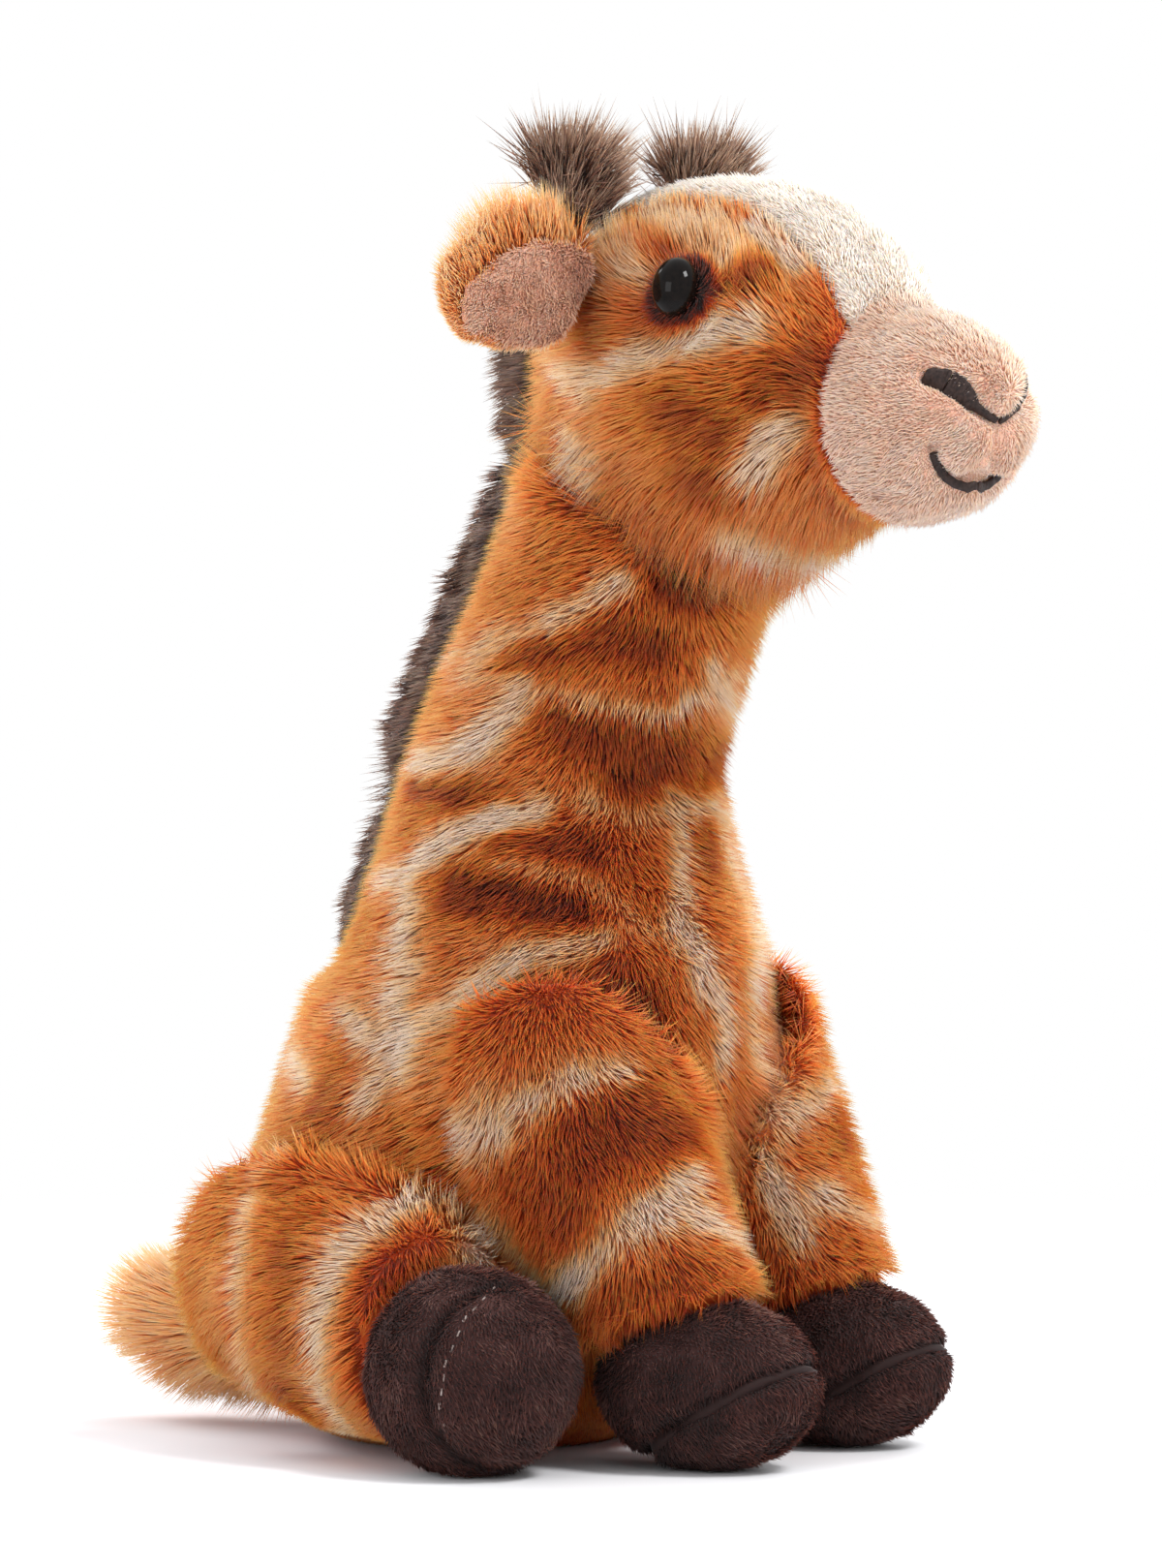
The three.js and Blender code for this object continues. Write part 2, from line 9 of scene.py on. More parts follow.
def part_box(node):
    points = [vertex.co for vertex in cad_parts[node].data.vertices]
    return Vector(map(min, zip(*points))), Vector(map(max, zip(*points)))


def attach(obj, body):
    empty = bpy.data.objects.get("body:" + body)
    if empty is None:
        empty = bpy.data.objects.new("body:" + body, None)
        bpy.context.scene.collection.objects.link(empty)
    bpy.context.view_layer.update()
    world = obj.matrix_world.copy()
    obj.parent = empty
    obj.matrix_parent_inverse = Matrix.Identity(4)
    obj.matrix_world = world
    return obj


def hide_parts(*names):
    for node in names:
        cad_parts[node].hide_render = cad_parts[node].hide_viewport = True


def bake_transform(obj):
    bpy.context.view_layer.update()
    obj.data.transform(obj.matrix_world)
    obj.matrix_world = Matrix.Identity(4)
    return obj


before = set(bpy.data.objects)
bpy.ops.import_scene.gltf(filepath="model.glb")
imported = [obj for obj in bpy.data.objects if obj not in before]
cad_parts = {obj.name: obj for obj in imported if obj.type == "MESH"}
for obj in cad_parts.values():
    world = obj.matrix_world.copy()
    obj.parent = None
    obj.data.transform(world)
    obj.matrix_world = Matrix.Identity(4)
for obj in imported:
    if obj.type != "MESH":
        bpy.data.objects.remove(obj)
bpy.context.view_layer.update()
scene = bpy.context.scene
scene.view_settings.view_transform = "Standard"

# Viewpoint: the toy sits with its right side near, seen level with its chest from its right front
# quarter. A pixel of the picture is a fifth of a millimetre at the toy.
PHOTO_WIDTH = 1200
PHOTO_HEIGHT = 1619
VIEW_AZIMUTH = math.radians(-58)
VIEW_ELEVATION = math.radians(1)
VIEW_DISTANCE = 1.5
VIEW_TARGET = Vector((0.00625, 0.00094, 0.13568))
PIXEL = 0.0002
FILM_LONG_SIDE = 36

view_back = Vector((
    math.sin(VIEW_AZIMUTH) * math.cos(VIEW_ELEVATION),
    -math.cos(VIEW_AZIMUTH) * math.cos(VIEW_ELEVATION),
    math.sin(VIEW_ELEVATION),
))
view_right = Vector((0, 0, 1)).cross(view_back).normalized()
view_up = view_back.cross(view_right)


def put(name, data):
    """A new object in the scene that holds a mesh, a lamp or a camera."""
    made = bpy.data.objects.new(name, data)
    scene.collection.objects.link(made)
    return made


camera = put("camera", bpy.data.cameras.new("camera"))
camera.location = VIEW_TARGET + view_back * VIEW_DISTANCE
camera.rotation_euler = view_back.to_track_quat("Z", "Y").to_euler()
camera.data.lens = FILM_LONG_SIDE * VIEW_DISTANCE / PIXEL / PHOTO_HEIGHT
camera.data.sensor_width = FILM_LONG_SIDE
scene.camera = camera

# Body and neck: one sewn cover of long printed pile over stuffing and a bag of pellets, closed
# underneath by a round seat panel.
BODY_NODES = (
    "torso_skin", "seat_panel", "torso_stuffing", "pellet_bag", "neck_skin", "neck_stuffing",
)
LEG_SKINS = (
    "front_leg_skin_right", "front_leg_skin_left", "hind_leg_skin_right", "hind_leg_skin_left",
)
BODY_VOXEL = 0.0022
BODY_SMOOTHING = 6
MERGE_DISTANCE = 1e-6

COAT_INSET = 0.0038
COAT_LENGTH = 0.0066
COAT_WIDTH = 0.00037
COAT_SPACING = 0.00044
COAT_LEAN = 0.0030
STRAND_DEPTH = 0.0006
STRAND_SPECULAR = 0.25
STRAND_SHEEN_ROUGHNESS = 0.5
STRAND_GLOW = (1.0, 0.6, 0.35)
COVER_SHADE = 0.3

# Where one thing passes into another, a pair gives the reach or height at which it starts and ends.
SEAT_INSET = 0.0006
SEAT_INSET_HEIGHTS = (0, 0.016)
SEAT_PILE_HEIGHTS = (0.003, 0.022)
SEAT_PILE = 0.2
BODY_NAP = np.array([0, 0.6, -0.8])
BODY_SWAY = 0.7
BODY_SWAY_SIZE = 0.016
UNDER_HEAD = (0.003, 0.012)
UNDER_HEAD_LIFT = 0.6
UNDER_HEAD_EXTRA = 0.4
BESIDE_LEG = (0.005, 0.012)
BESIDE_LEG_EXTRA = 0.6
HIDDEN_BY_LEG = (0.001, 0.004)
HIDDEN_BY_HEAD = (0.004, 0.01)
HIDDEN_THINNING = 0.6

# A stroke is half its width and its paleness, then the points it runs through, in pixels of the
# picture.
BODY_STROKES = {
    "under_jaw": (14, 0.85, (572, 646), (598, 628), (640, 602)),
    "nape": (8, 0.65, (470, 690), (510, 676), (568, 648)),
    "neck_back": (8, 0.6, (491, 702), (530, 708), (545, 735)),
    "neck_side": (18, 0.95, (462, 793), (500, 774), (524, 742), (540, 722)),
    "neck_side_end": (11, 0.85, (411, 797), (440, 795), (470, 790)),
    "neck_arch": (6, 0.65, (545, 716), (590, 724), (629, 732), (675, 742)),
    "throat": (11, 0.85, (726, 694), (740, 725), (755, 744)),
    "mane_edge": (11, 0.85, (396, 809), (388, 835), (382, 866), (376, 893)),
    "neck_ring": (9, 0.5, (600, 830), (632, 842), (670, 846)),
    "shoulder_back": (
        13, 0.95, (407, 914), (430, 904), (453, 887), (491, 864), (510, 850), (549, 845),
    ),
    "side_fall": (18, 0.9, (424, 916), (432, 943), (420, 985), (424, 1008)),
    "side_foot": (15, 0.9, (424, 1012), (408, 1040), (410, 1069), (396, 1096)),
    "shoulder_arch": (11, 0.9, (621, 978), (578, 977), (545, 992), (514, 1012), (486, 1032)),
    "arch_end": (9, 0.75, (486, 1032), (453, 1057), (426, 1084)),
    "rib_line": (6, 0.5, (520, 900), (548, 904), (591, 916), (640, 948), (664, 973)),
    "chest_fall": (9, 0.8, (694, 852), (698, 889), (694, 927), (694, 962)),
    "chest_blot": (18, 0.95, (698, 966), (716, 996), (732, 1031)),
    "chest_foot": (11, 0.85, (732, 1031), (740, 1065), (734, 1100)),
    "throat_tie": (9, 0.7, (683, 843), (713, 842), (729, 824), (748, 816)),
    "hip_edge": (11, 0.85, (306, 1068), (316, 1096), (326, 1126)),
    "flank": (16, 0.9, (366, 1056), (400, 1085), (420, 1105)),
    "flank_fork": (14, 0.9, (428, 1068), (410, 1100), (380, 1140)),
    "breast": (10, 0.7, (776, 900), (790, 960), (800, 1010)),
    # Painted rim light along the back's silhouette.
    "back_rim_light": (10, 0.5, (340, 930), (322, 985), (306, 1040)),
}
# A blot is where the coat is painted darkest, mostly the print and at the jaw and belly painted
# shade:
# half its width and its strength, then the points it runs through.
BODY_BLOTS = {
    "neck_upper": (28, 0.8, (520, 690), (570, 674), (620, 655), (668, 672)),
    "neck_middle": (40, 0.9, (585, 752), (640, 776), (690, 792)),
    "neck_fold": (24, 1.0, (640, 818), (690, 814)),
    "nape_dark": (20, 1.0, (440, 818), (480, 824), (535, 842)),
    "rib_upper": (24, 0.8, (520, 876), (560, 872), (600, 884)),
    "rib_dark": (30, 1.0, (476, 930), (525, 932), (590, 955)),
    "shoulder_dark": (36, 0.8, (622, 1020), (650, 1050)),
    # Painted shade under the jaw.
    "jaw_shade": (30, 0.9, (690, 604), (716, 612)),
    "throat_dark": (22, 0.9, (768, 672), (756, 700)),
    "chest_dark": (22, 0.7, (724, 862), (728, 900)),
    "breast_dark": (22, 0.6, (762, 900), (770, 960)),
    # Painted shade between the front legs, under the chest.
    "belly_shade": (36, 0.8, (785, 1085)),
    "flank_dark": (26, 0.4, (350, 990)),
    "hip_dark": (26, 0.7, (340, 1140)),
}


def closed_form(name, nodes, voxel, smoothing):
    """A closed skin round copies of CAD nodes; sewing gaps finer than the voxel close up."""
    shell = bmesh.new()
    for cad_node in nodes:
        shell.from_mesh(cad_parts[cad_node].data)
    bmesh.ops.remove_doubles(shell, verts=shell.verts, dist=MERGE_DISTANCE)
    raw = bpy.data.meshes.new(name)
    shell.to_mesh(raw)
    shell.free()
    rough = put(name, raw)
    remesh = rough.modifiers.new("remesh", "REMESH")
    remesh.mode = "VOXEL"
    remesh.voxel_size = voxel
    smooth = rough.modifiers.new("smooth", "SMOOTH")
    smooth.iterations = smoothing
    evaluated = rough.evaluated_get(bpy.context.evaluated_depsgraph_get())
    mesh = bpy.data.meshes.new_from_object(evaluated)
    bpy.data.objects.remove(rough)
    bpy.data.meshes.remove(raw)
    mesh.name = name
    mesh.materials.clear()
    keep_largest_shell(mesh)
    mesh.shade_smooth()
    return put(name, mesh)


def keep_largest_shell(mesh):
    """Drops the small closed pockets that a remesh leaves inside."""
    shell = bmesh.new()
    shell.from_mesh(mesh)
    unseen = set(shell.verts)
    groups = []
    while unseen:
        group = [unseen.pop()]
        for vert in group:
            for edge in vert.link_edges:
                other = edge.other_vert(vert)
                if other in unseen:
                    unseen.remove(other)
                    group.append(other)
        groups.append(group)
    groups.sort(key=len)
    spare = [vert for group in groups[:-1] for vert in group]
    bmesh.ops.delete(shell, geom=spare, context="VERTS")
    shell.to_mesh(mesh)
    shell.free()


def points_of(form):
    """The places and the outward directions of a form's points, as arrays."""
    count = len(form.data.vertices)
    places = np.zeros(count * 3)
    normals = np.zeros(count * 3)
    form.data.vertices.foreach_get("co", places)
    form.data.vertex_normals.foreach_get("vector", normals)
    return places.reshape(-1, 3), normals.reshape(-1, 3)


def move_points(form, places):
    form.data.vertices.foreach_set("co", places.ravel())
    form.data.update()


def sink(form, depth):
    """Moves a form's points inwards, so that the pile on it ends at the toy's outline."""
    places, normals = points_of(form)
    move_points(form, places - normals * depth[:, None])


def ease(value, low, high):
    """0 below low, 1 above high, and a smooth rise between them."""
    share = np.clip((value - low) / (high - low), 0, 1)
    return share * share * (3 - 2 * share)


def rising(low, share):
    """From low, where the share is 0, up to 1."""
    return low + (1 - low) * share


SEED_STEPS = (7.31, 3.17, 5.53)


def wander(places, size, seed):
    """A smooth random value from about -1 to 1 at each place, changing over the given size."""
    offset = Vector([seed * step for step in SEED_STEPS])
    return np.array([noise.noise(Vector(place) / size + offset) for place in places])


def sway(places, size, seed):
    """A smooth random direction at each place."""
    return np.stack([wander(places, size, seed + axis) for axis in range(3)], axis=1)


SHORTEST = 1e-9


def unit(vectors):
    return vectors / np.maximum(np.linalg.norm(vectors, axis=1, keepdims=True), SHORTEST)


def lay_flat(vectors, normals):
    """The part of each direction that runs along the surface, at length 1."""
    return unit(vectors - normals * np.sum(vectors * normals, axis=1, keepdims=True))


def photo_ray(pixel):
    """The direction from the camera through a pixel of the picture."""
    across = (pixel[0] - PHOTO_WIDTH / 2) * PIXEL / VIEW_DISTANCE
    upward = (PHOTO_HEIGHT / 2 - pixel[1]) * PIXEL / VIEW_DISTANCE
    return (view_right * across + view_up * upward - view_back).normalized()


def search_tree(mesh):
    return BVHTree.FromPolygons(
        [vert.co for vert in mesh.vertices], [face.vertices for face in mesh.polygons],
    )


PRINT_STEP = 5


def trace(form, pixels, step=PRINT_STEP):
    """Places on a form under a line of pixels, every few pixels.

    A pixel's third number, if it has one, comes along.
    """
    tree = search_tree(form.data)
    found = []
    pairs = zip(pixels, pixels[1:]) if len(pixels) > 1 else [(pixels[0], pixels[0])]
    for start, end in pairs:
        count = max(1, round(math.dist(start, end) / step))
        for index in range(count + 1):
            share = index / count
            pixel = [a + (b - a) * share for a, b in zip(start, end)]
            hit = tree.ray_cast(camera.location, photo_ray(pixel))[0]
            if hit is not None:
                found.append([*hit, *pixel[2:]])
    return np.array(found).reshape(-1, 1 + len(pixels[0]))


def mirrored(places):
    return places * np.array([-1, 1, 1])


def reach_to(places, line):
    """How far each place lies from the nearest of a row of places."""
    return np.min(np.linalg.norm(places[:, None] - line[None], axis=2), axis=1)


# The print's edges wander by a size, a seed and an amount; its tones run from pale to dark.
RAGGED_EDGES = ((0.007, 3, 0.0022), (0.003, 4, 0.0010))
CLOUD_SIZE = 0.02
CLOUD_SEED = 5
PATCHY_SIZE = 0.009
PATCHY_SEED = 6
PATCHY_PALE = (0.95, 0.35)
GROUND_TONE = 0.54
CLOUD_TONE = 0.12
BLOT_TONE = 0.30
GLOW_TONE = 0.10
PALE_TONE = 0.04
BLOT_EDGE = (0.35, 1.3)
STROKE_EDGE = (0.25, 1.4)
STROKE_FEATHER = 0.0016
GLOW_REACH = 0.007


def coat_tone(form, prints, comb, mirror=mirrored):
    """The print at each point of a form, where its strand ends, with some painted shade and light:
    0 pale, 0.5 orange, 0.85 rust.

    Each print is the form its lines are drawn on, in the picture, and its strokes and blots.
    """
    places = points_of(form)[0] + comb * COAT_LEAN
    ragged = sum(wander(places, size, seed) * amount for size, seed, amount in RAGGED_EDGES)
    cloudy = wander(places, CLOUD_SIZE, CLOUD_SEED)

    def reach_of_line(drawn_on, pixels):
        line = trace(drawn_on, pixels)
        line = np.concatenate([line, mirror(line)]) if len(line) else np.full((1, 3), np.inf)
        return reach_to(places, line) + ragged

    dark = np.zeros(len(places))
    pale = np.zeros(len(places))
    glow = np.zeros(len(places))
    for drawn_on, strokes, blots in prints:
        for half_width, strength, *pixels in blots.values():
            half = half_width * PIXEL
            reach = reach_of_line(drawn_on, pixels)
            blot = 1 - ease(reach, BLOT_EDGE[0] * half, BLOT_EDGE[1] * half)
            dark = np.maximum(dark, strength * blot)
        for half_width, strength, *pixels in strokes.values():
            half = half_width * PIXEL
            reach = reach_of_line(drawn_on, pixels)
            edge = STROKE_EDGE[1] * half + STROKE_FEATHER
            pale = np.maximum(pale, strength * (1 - ease(reach, STROKE_EDGE[0] * half, edge)))
            glow = np.maximum(glow, strength * (1 - ease(reach, half, half + GLOW_REACH)))
    ground = GROUND_TONE + CLOUD_TONE * cloudy + BLOT_TONE * dark - GLOW_TONE * glow * (1 - dark)
    patchy = PATCHY_PALE[0] + PATCHY_PALE[1] * wander(places, PATCHY_SIZE, PATCHY_SEED)
    pale = np.clip(pale * patchy, 0, 1)
    return np.clip(ground * (1 - pale) + PALE_TONE * pale, 0, 1)


def reach_of(places, *nodes):
    """How far each place lies from the nearest of some CAD nodes."""
    reach = np.full(len(places), np.inf)
    for cad_node in nodes:
        tree = search_tree(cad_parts[cad_node].data)
        reach = np.minimum(reach, [tree.find_nearest(Vector(place))[3] for place in places])
    return reach


def middle_of(*nodes):
    """The middle of the box round some CAD nodes."""
    corners = np.array([corner for cad_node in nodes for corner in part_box(cad_node)])
    return np.array([corners.min(axis=0), corners.max(axis=0)]).mean(axis=0)


def srgb(code):
    """A colour written as six hex digits, as linear light with full cover."""
    parts = [int(code[i:i + 2], 16) / 255 for i in (0, 2, 4)]
    return [p / 12.92 if p <= 0.04045 else ((p + 0.055) / 1.055) ** 2.4 for p in parts] + [1]


def node(tree, kind, feeds=None, **options):
    """Adds a node with its options; each input is fed by a socket or set to a constant."""
    made = tree.nodes.new(kind)
    for option, value in options.items():
        setattr(made, option, value)
    for socket, value in (feeds or {}).items():
        if isinstance(value, bpy.types.NodeSocket):
            tree.links.new(value, made.inputs[socket])
        else:
            made.inputs[socket].default_value = value
    return made


def ramp(tree, value, stops):
    """A colour ramp through stops of place and colour."""
    made = node(tree, "ShaderNodeValToRGB", {0: value})
    while len(made.color_ramp.elements) < len(stops):
        made.color_ramp.elements.new(1)
    for element, (place, colour) in zip(made.color_ramp.elements, stops):
        element.position = place
        element.color = srgb(colour)
    return made.outputs["Color"]


def pile_cloth(name, tones, root_shade, roughness, sheen, clear):
    """Dyed pile: a strand's tone picks its dye, its root is in shade, and light passes through."""
    material = bpy.data.materials.new(name)
    material.use_nodes = True
    tree = material.node_tree
    tree.nodes.clear()
    tone = node(tree, "ShaderNodeAttribute", attribute_name="tone")
    along = node(tree, "ShaderNodeAttribute", attribute_name="along")
    hue = ramp(tree, tone.outputs["Fac"], tones)
    # Painted shade: the dye darkens down each strand towards its root, and a cover is darkened like
    # a strand's lower part.
    depth = ramp(tree, along.outputs["Fac"], root_shade)
    mixed = node(tree, "ShaderNodeMix", {0: 1.0, 6: hue, 7: depth},
                 data_type="RGBA", blend_type="MULTIPLY")
    surface = node(tree, "ShaderNodeBsdfPrincipled", {
        "Base Color": mixed.outputs[2],
        "Roughness": roughness,
        "Specular IOR Level": STRAND_SPECULAR,
        "Sheen Weight": sheen,
        "Sheen Roughness": STRAND_SHEEN_ROUGHNESS,
        "Subsurface Weight": clear,
        "Subsurface Radius": STRAND_GLOW,
        "Subsurface Scale": STRAND_DEPTH,
    })
    node(tree, "ShaderNodeOutputMaterial", {"Surface": surface.outputs[0]})
    return material


def strand(name, belly, bend):
    """A strand 1 long and 1 wide at its belly, whose tip bends over; belly 0 is at the root."""
    corners = (0, math.tau / 3, 2 * math.tau / 3)
    places = [(0.5 * math.cos(a), 0.5 * math.sin(a), belly) for a in corners]
    places.append((bend, 0, 1))
    faces = [(0, 1, 3), (1, 2, 3), (2, 0, 3)]
    if belly > 0:
        places.append((0, 0, 0))
        faces += [(1, 0, 4), (2, 1, 4), (0, 2, 4)]
    else:
        faces.append((2, 1, 0))
    mesh = bpy.data.meshes.new(name)
    mesh.from_pydata(places, [], faces)
    write(mesh, "along", np.array([place[2] for place in places]))
    write(mesh, "side", np.array([-1, 0, 1, 0, 0][:len(places)]))
    return bpy.data.objects.new(name, mesh)


def write(mesh, label, values):
    """Stores one value or direction for each point of a mesh."""
    kind, field = ("FLOAT_VECTOR", "vector") if values.ndim == 2 else ("FLOAT", "value")
    attribute = mesh.attributes.get(label) or mesh.attributes.new(label, kind, "POINT")
    attribute.data.foreach_set(field, values.astype(np.float32).ravel())


def open_tree(name, **inputs):
    """A new Geometry Nodes tree with named inputs, one of which is the geometry it works on."""
    tree = bpy.data.node_groups.new(name, "GeometryNodeTree")
    for label, kind in inputs.items():
        label = label.replace("_", " ").title()
        tree.interface.new_socket(label, in_out="INPUT", socket_type="NodeSocket" + kind)
    tree.interface.new_socket("Geometry", in_out="OUTPUT", socket_type="NodeSocketGeometry")
    return tree


def close_tree(tree, geometry, material):
    """Ends a tree with smooth shading and the given material."""
    soft = node(tree, "GeometryNodeSetShadeSmooth", {"Geometry": geometry})
    dressed = node(tree, "GeometryNodeSetMaterial", {
        "Geometry": soft.outputs[0], "Material": material,
    })
    node(tree, "NodeGroupOutput", {0: dressed.outputs[0]})
    return tree


def run_tree(name, tree, start, spare, settings):
    """The plain mesh that a tree makes of a starting mesh, without attributes it can spare."""
    inputs = {
        item.name: item.identifier for item in tree.interface.items_tree if item.in_out == "INPUT"
    }
    carrier = put(name + "_carrier", start)
    modifier = carrier.modifiers.new(tree.name, "NODES")
    modifier.node_group = tree
    for label, value in settings.items():
        modifier[inputs[label.replace("_", " ").title()]] = value
    evaluated = carrier.evaluated_get(bpy.context.evaluated_depsgraph_get())
    mesh = bpy.data.meshes.new_from_object(evaluated)
    mesh.name = name
    bpy.data.objects.remove(carrier)
    for label in spare:
        if mesh.attributes.get(label):
            mesh.attributes.remove(mesh.attributes[label])
    return mesh


CROWDING = 2.5
LENGTH_RANGE = (0.72, 1.12)
WIDTH_RANGE = (0.7, 1.3)
# The chart for baking lays tone across and length upwards, inside a margin.
CHART_ACROSS = (0.92, 0.04)
CHART_UPWARD = (0.96, 0.02)
CHART_STRAND = 0.012


def pile_node_tree():
    """Strands on a cloth: scattered by share, combed along it, gathered into locks and bent."""
    tree = open_tree(
        "pile_strands", geometry="Geometry", strand="Object", material="Material",
        spacing="Float", width="Float", lift="Float", lock_size="Float", lock_pull="Float",
        lock_sway="Float", stray="Float", tone_spread="Float", seed="Int",
    )
    given = tree.nodes.new("NodeGroupInput").outputs

    def read(label, kind="FLOAT"):
        named = node(tree, "GeometryNodeInputNamedAttribute", {"Name": label}, data_type=kind)
        return named.outputs[0]

    def calc(operation, *values):
        feeds = dict(enumerate(values))
        return node(tree, "ShaderNodeMath", feeds, operation=operation).outputs[0]

    def scaled(vector, factor):
        feeds = {0: vector, "Scale": factor}
        return node(tree, "ShaderNodeVectorMath", feeds, operation="SCALE").outputs[0]

    def vector(operation, *values):
        feeds = dict(enumerate(values))
        return node(tree, "ShaderNodeVectorMath", feeds, operation=operation).outputs[0]

    def chance(low, high, step):
        feeds = {2: low, 3: high, "Seed": calc("ADD", given["Seed"], step)}
        return node(tree, "FunctionNodeRandomValue", feeds, data_type="FLOAT").outputs[1]

    crowd = calc("DIVIDE", CROWDING, calc("MULTIPLY", given["Spacing"], given["Spacing"]))
    scatter = node(tree, "GeometryNodeDistributePointsOnFaces", {
        "Mesh": given["Geometry"], "Distance Min": given["Spacing"], "Density Max": crowd,
        "Density Factor": read("share"), "Seed": given["Seed"],
    }, distribute_method="POISSON")
    place = node(tree, "GeometryNodeInputPosition").outputs[0]
    lock = node(tree, "ShaderNodeTexVoronoi", {
        "Vector": place, "Scale": calc("DIVIDE", 1.0, given["Lock Size"]),
    })
    pull = vector("SUBTRACT", lock.outputs["Position"], place)
    pull = scaled(pull, calc("DIVIDE", given["Lock Pull"], given["Lock Size"]))
    drift = vector("SUBTRACT", lock.outputs["Color"], (0.5, 0.5, 0.5))
    drift = scaled(drift, given["Lock Sway"])
    stray = node(tree, "FunctionNodeRandomValue", {
        0: (-1, -1, -1), 1: (1, 1, 1), "Seed": given["Seed"],
    }, data_type="FLOAT_VECTOR").outputs[0]
    heading = scaled(scatter.outputs["Normal"], given["Lift"])
    heading = vector("ADD", heading, read("comb", "FLOAT_VECTOR"))
    heading = vector("ADD", heading, vector("ADD", pull, drift))
    heading = vector("ADD", heading, scaled(stray, given["Stray"]))
    upright = node(tree, "FunctionNodeAlignRotationToVector", {"Vector": heading}, axis="Z")
    turned = node(tree, "FunctionNodeAlignRotationToVector", {
        "Rotation": upright.outputs[0], "Vector": read("comb", "FLOAT_VECTOR"),
    }, axis="X", pivot_axis="Z")
    length = calc("MULTIPLY", read("length"), chance(*LENGTH_RANGE, 1))
    width = calc("MULTIPLY", given["Width"], chance(*WIDTH_RANGE, 2))
    size = node(tree, "ShaderNodeCombineXYZ", {0: width, 1: width, 2: length}).outputs[0]
    lock_tone = node(tree, "ShaderNodeSeparateXYZ", {0: lock.outputs["Color"]}).outputs[0]
    own_tone = calc("MULTIPLY", chance(-1.0, 1.0, 3), given["Tone Spread"])
    lock_tone = calc("MULTIPLY", calc("SUBTRACT", lock_tone, 0.5), given["Tone Spread"])
    tone = calc("ADD", calc("ADD", read("tone"), own_tone), lock_tone)
    dyed = node(tree, "GeometryNodeStoreNamedAttribute", {
        "Geometry": scatter.outputs["Points"], "Name": "tone",
        "Value": node(tree, "ShaderNodeClamp", {0: tone}).outputs[0],
    }, data_type="FLOAT", domain="POINT")
    shape = node(tree, "GeometryNodeObjectInfo", {"Object": given["Strand"]})
    planted = node(tree, "GeometryNodeInstanceOnPoints", {
        "Points": dyed.outputs[0], "Instance": shape.outputs["Geometry"],
        "Rotation": turned.outputs[0], "Scale": size,
    })
    real = node(tree, "GeometryNodeRealizeInstances", {"Geometry": planted.outputs[0]})
    band = calc("MULTIPLY_ADD", read("tone"), *CHART_ACROSS)
    band = calc("ADD", band, calc("MULTIPLY", read("side"), CHART_STRAND))
    rise = calc("MULTIPLY_ADD", read("along"), *CHART_UPWARD)
    chart = node(tree, "ShaderNodeCombineXYZ", {0: band, 1: rise}).outputs[0]
    mapped = node(tree, "GeometryNodeStoreNamedAttribute", {
        "Geometry": real.outputs[0], "Name": "OFBake", "Value": chart,
    }, data_type="FLOAT2", domain="CORNER")
    return close_tree(tree, mapped.outputs[0], given["Material"])


FLOOR_CLEARANCE = 0.0003
pile_tree = pile_node_tree()


def grow_pile(name, form, tone, comb, length, share, **settings):
    """One mesh of strands on a form; share thins the pile or leaves places bare."""
    start = form.data.copy()
    for label, values in (("tone", tone), ("comb", comb), ("length", length), ("share", share)):
        write(start, label, values)
    spare = ("comb", "length", "share", "side")
    pile = put(name, run_tree(name, pile_tree, start, spare, settings))
    places = np.zeros(len(pile.data.vertices) * 3)
    pile.data.vertices.foreach_get("co", places)
    places[2::3] = np.maximum(places[2::3], FLOOR_CLEARANCE)
    move_points(pile, places)
    return pile


def dye(form, cloth, tone, shade=COVER_SHADE):
    """Gives a cover its cloth and print; its shade is how far up the pile it would lie."""
    write(form.data, "tone", tone)
    write(form.data, "along", np.full(len(tone), shade))
    form.data.materials.append(cloth)


pile_strand = strand("pile_strand", belly=0, bend=0)
coat = pile_cloth(
    "printed_coat",
    [(0.0, "FFDECA"), (0.14, "FDC8A0"), (0.30, "F6A05A"), (0.45, "EA6C28"),
     (0.60, "CC4A15"), (0.76, "A0300D"), (0.90, "5E1E0A"), (1.0, "180A07")],
    [(0.0, "D4C4B8"), (0.5, "F2EAE4"), (1.0, "FFFFFF")],
    roughness=0.7, sheen=0.06, clear=0.7,
)
COAT_PILE = dict(
    strand=pile_strand, material=coat, spacing=COAT_SPACING, width=COAT_WIDTH, lift=1.3,
    lock_size=0.0042, lock_pull=0.1, lock_sway=0.3, stray=0.22, tone_spread=0.06,
)

body = closed_form("body_cover", BODY_NODES, BODY_VOXEL, BODY_SMOOTHING)
body_height = points_of(body)[0][:, 2]
sink(body, SEAT_INSET + (COAT_INSET - SEAT_INSET) * ease(body_height, *SEAT_INSET_HEIGHTS))
body_places, body_normals = points_of(body)
body_height = body_places[:, 2]
body_flow = BODY_NAP + BODY_SWAY * sway(body_places, BODY_SWAY_SIZE, seed=11)
under_head = 1 - ease(reach_of(body_places, "head_skin"), *UNDER_HEAD)
body_comb = lay_flat(body_flow, body_normals) * (1 - UNDER_HEAD_LIFT * under_head)[:, None]
body_tone = coat_tone(body, [(body, BODY_STROKES, BODY_BLOTS)], body_comb)
leg_reach = reach_of(body_places, *LEG_SKINS)
body_length = COAT_LENGTH * rising(SEAT_PILE, ease(body_height, *SEAT_PILE_HEIGHTS))
body_length = body_length * (1 + BESIDE_LEG_EXTRA * (1 - ease(leg_reach, *BESIDE_LEG)))
body_length = body_length * (1 + UNDER_HEAD_EXTRA * under_head)
dye(body, coat, body_tone)
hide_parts(*BODY_NODES)
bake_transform(body)

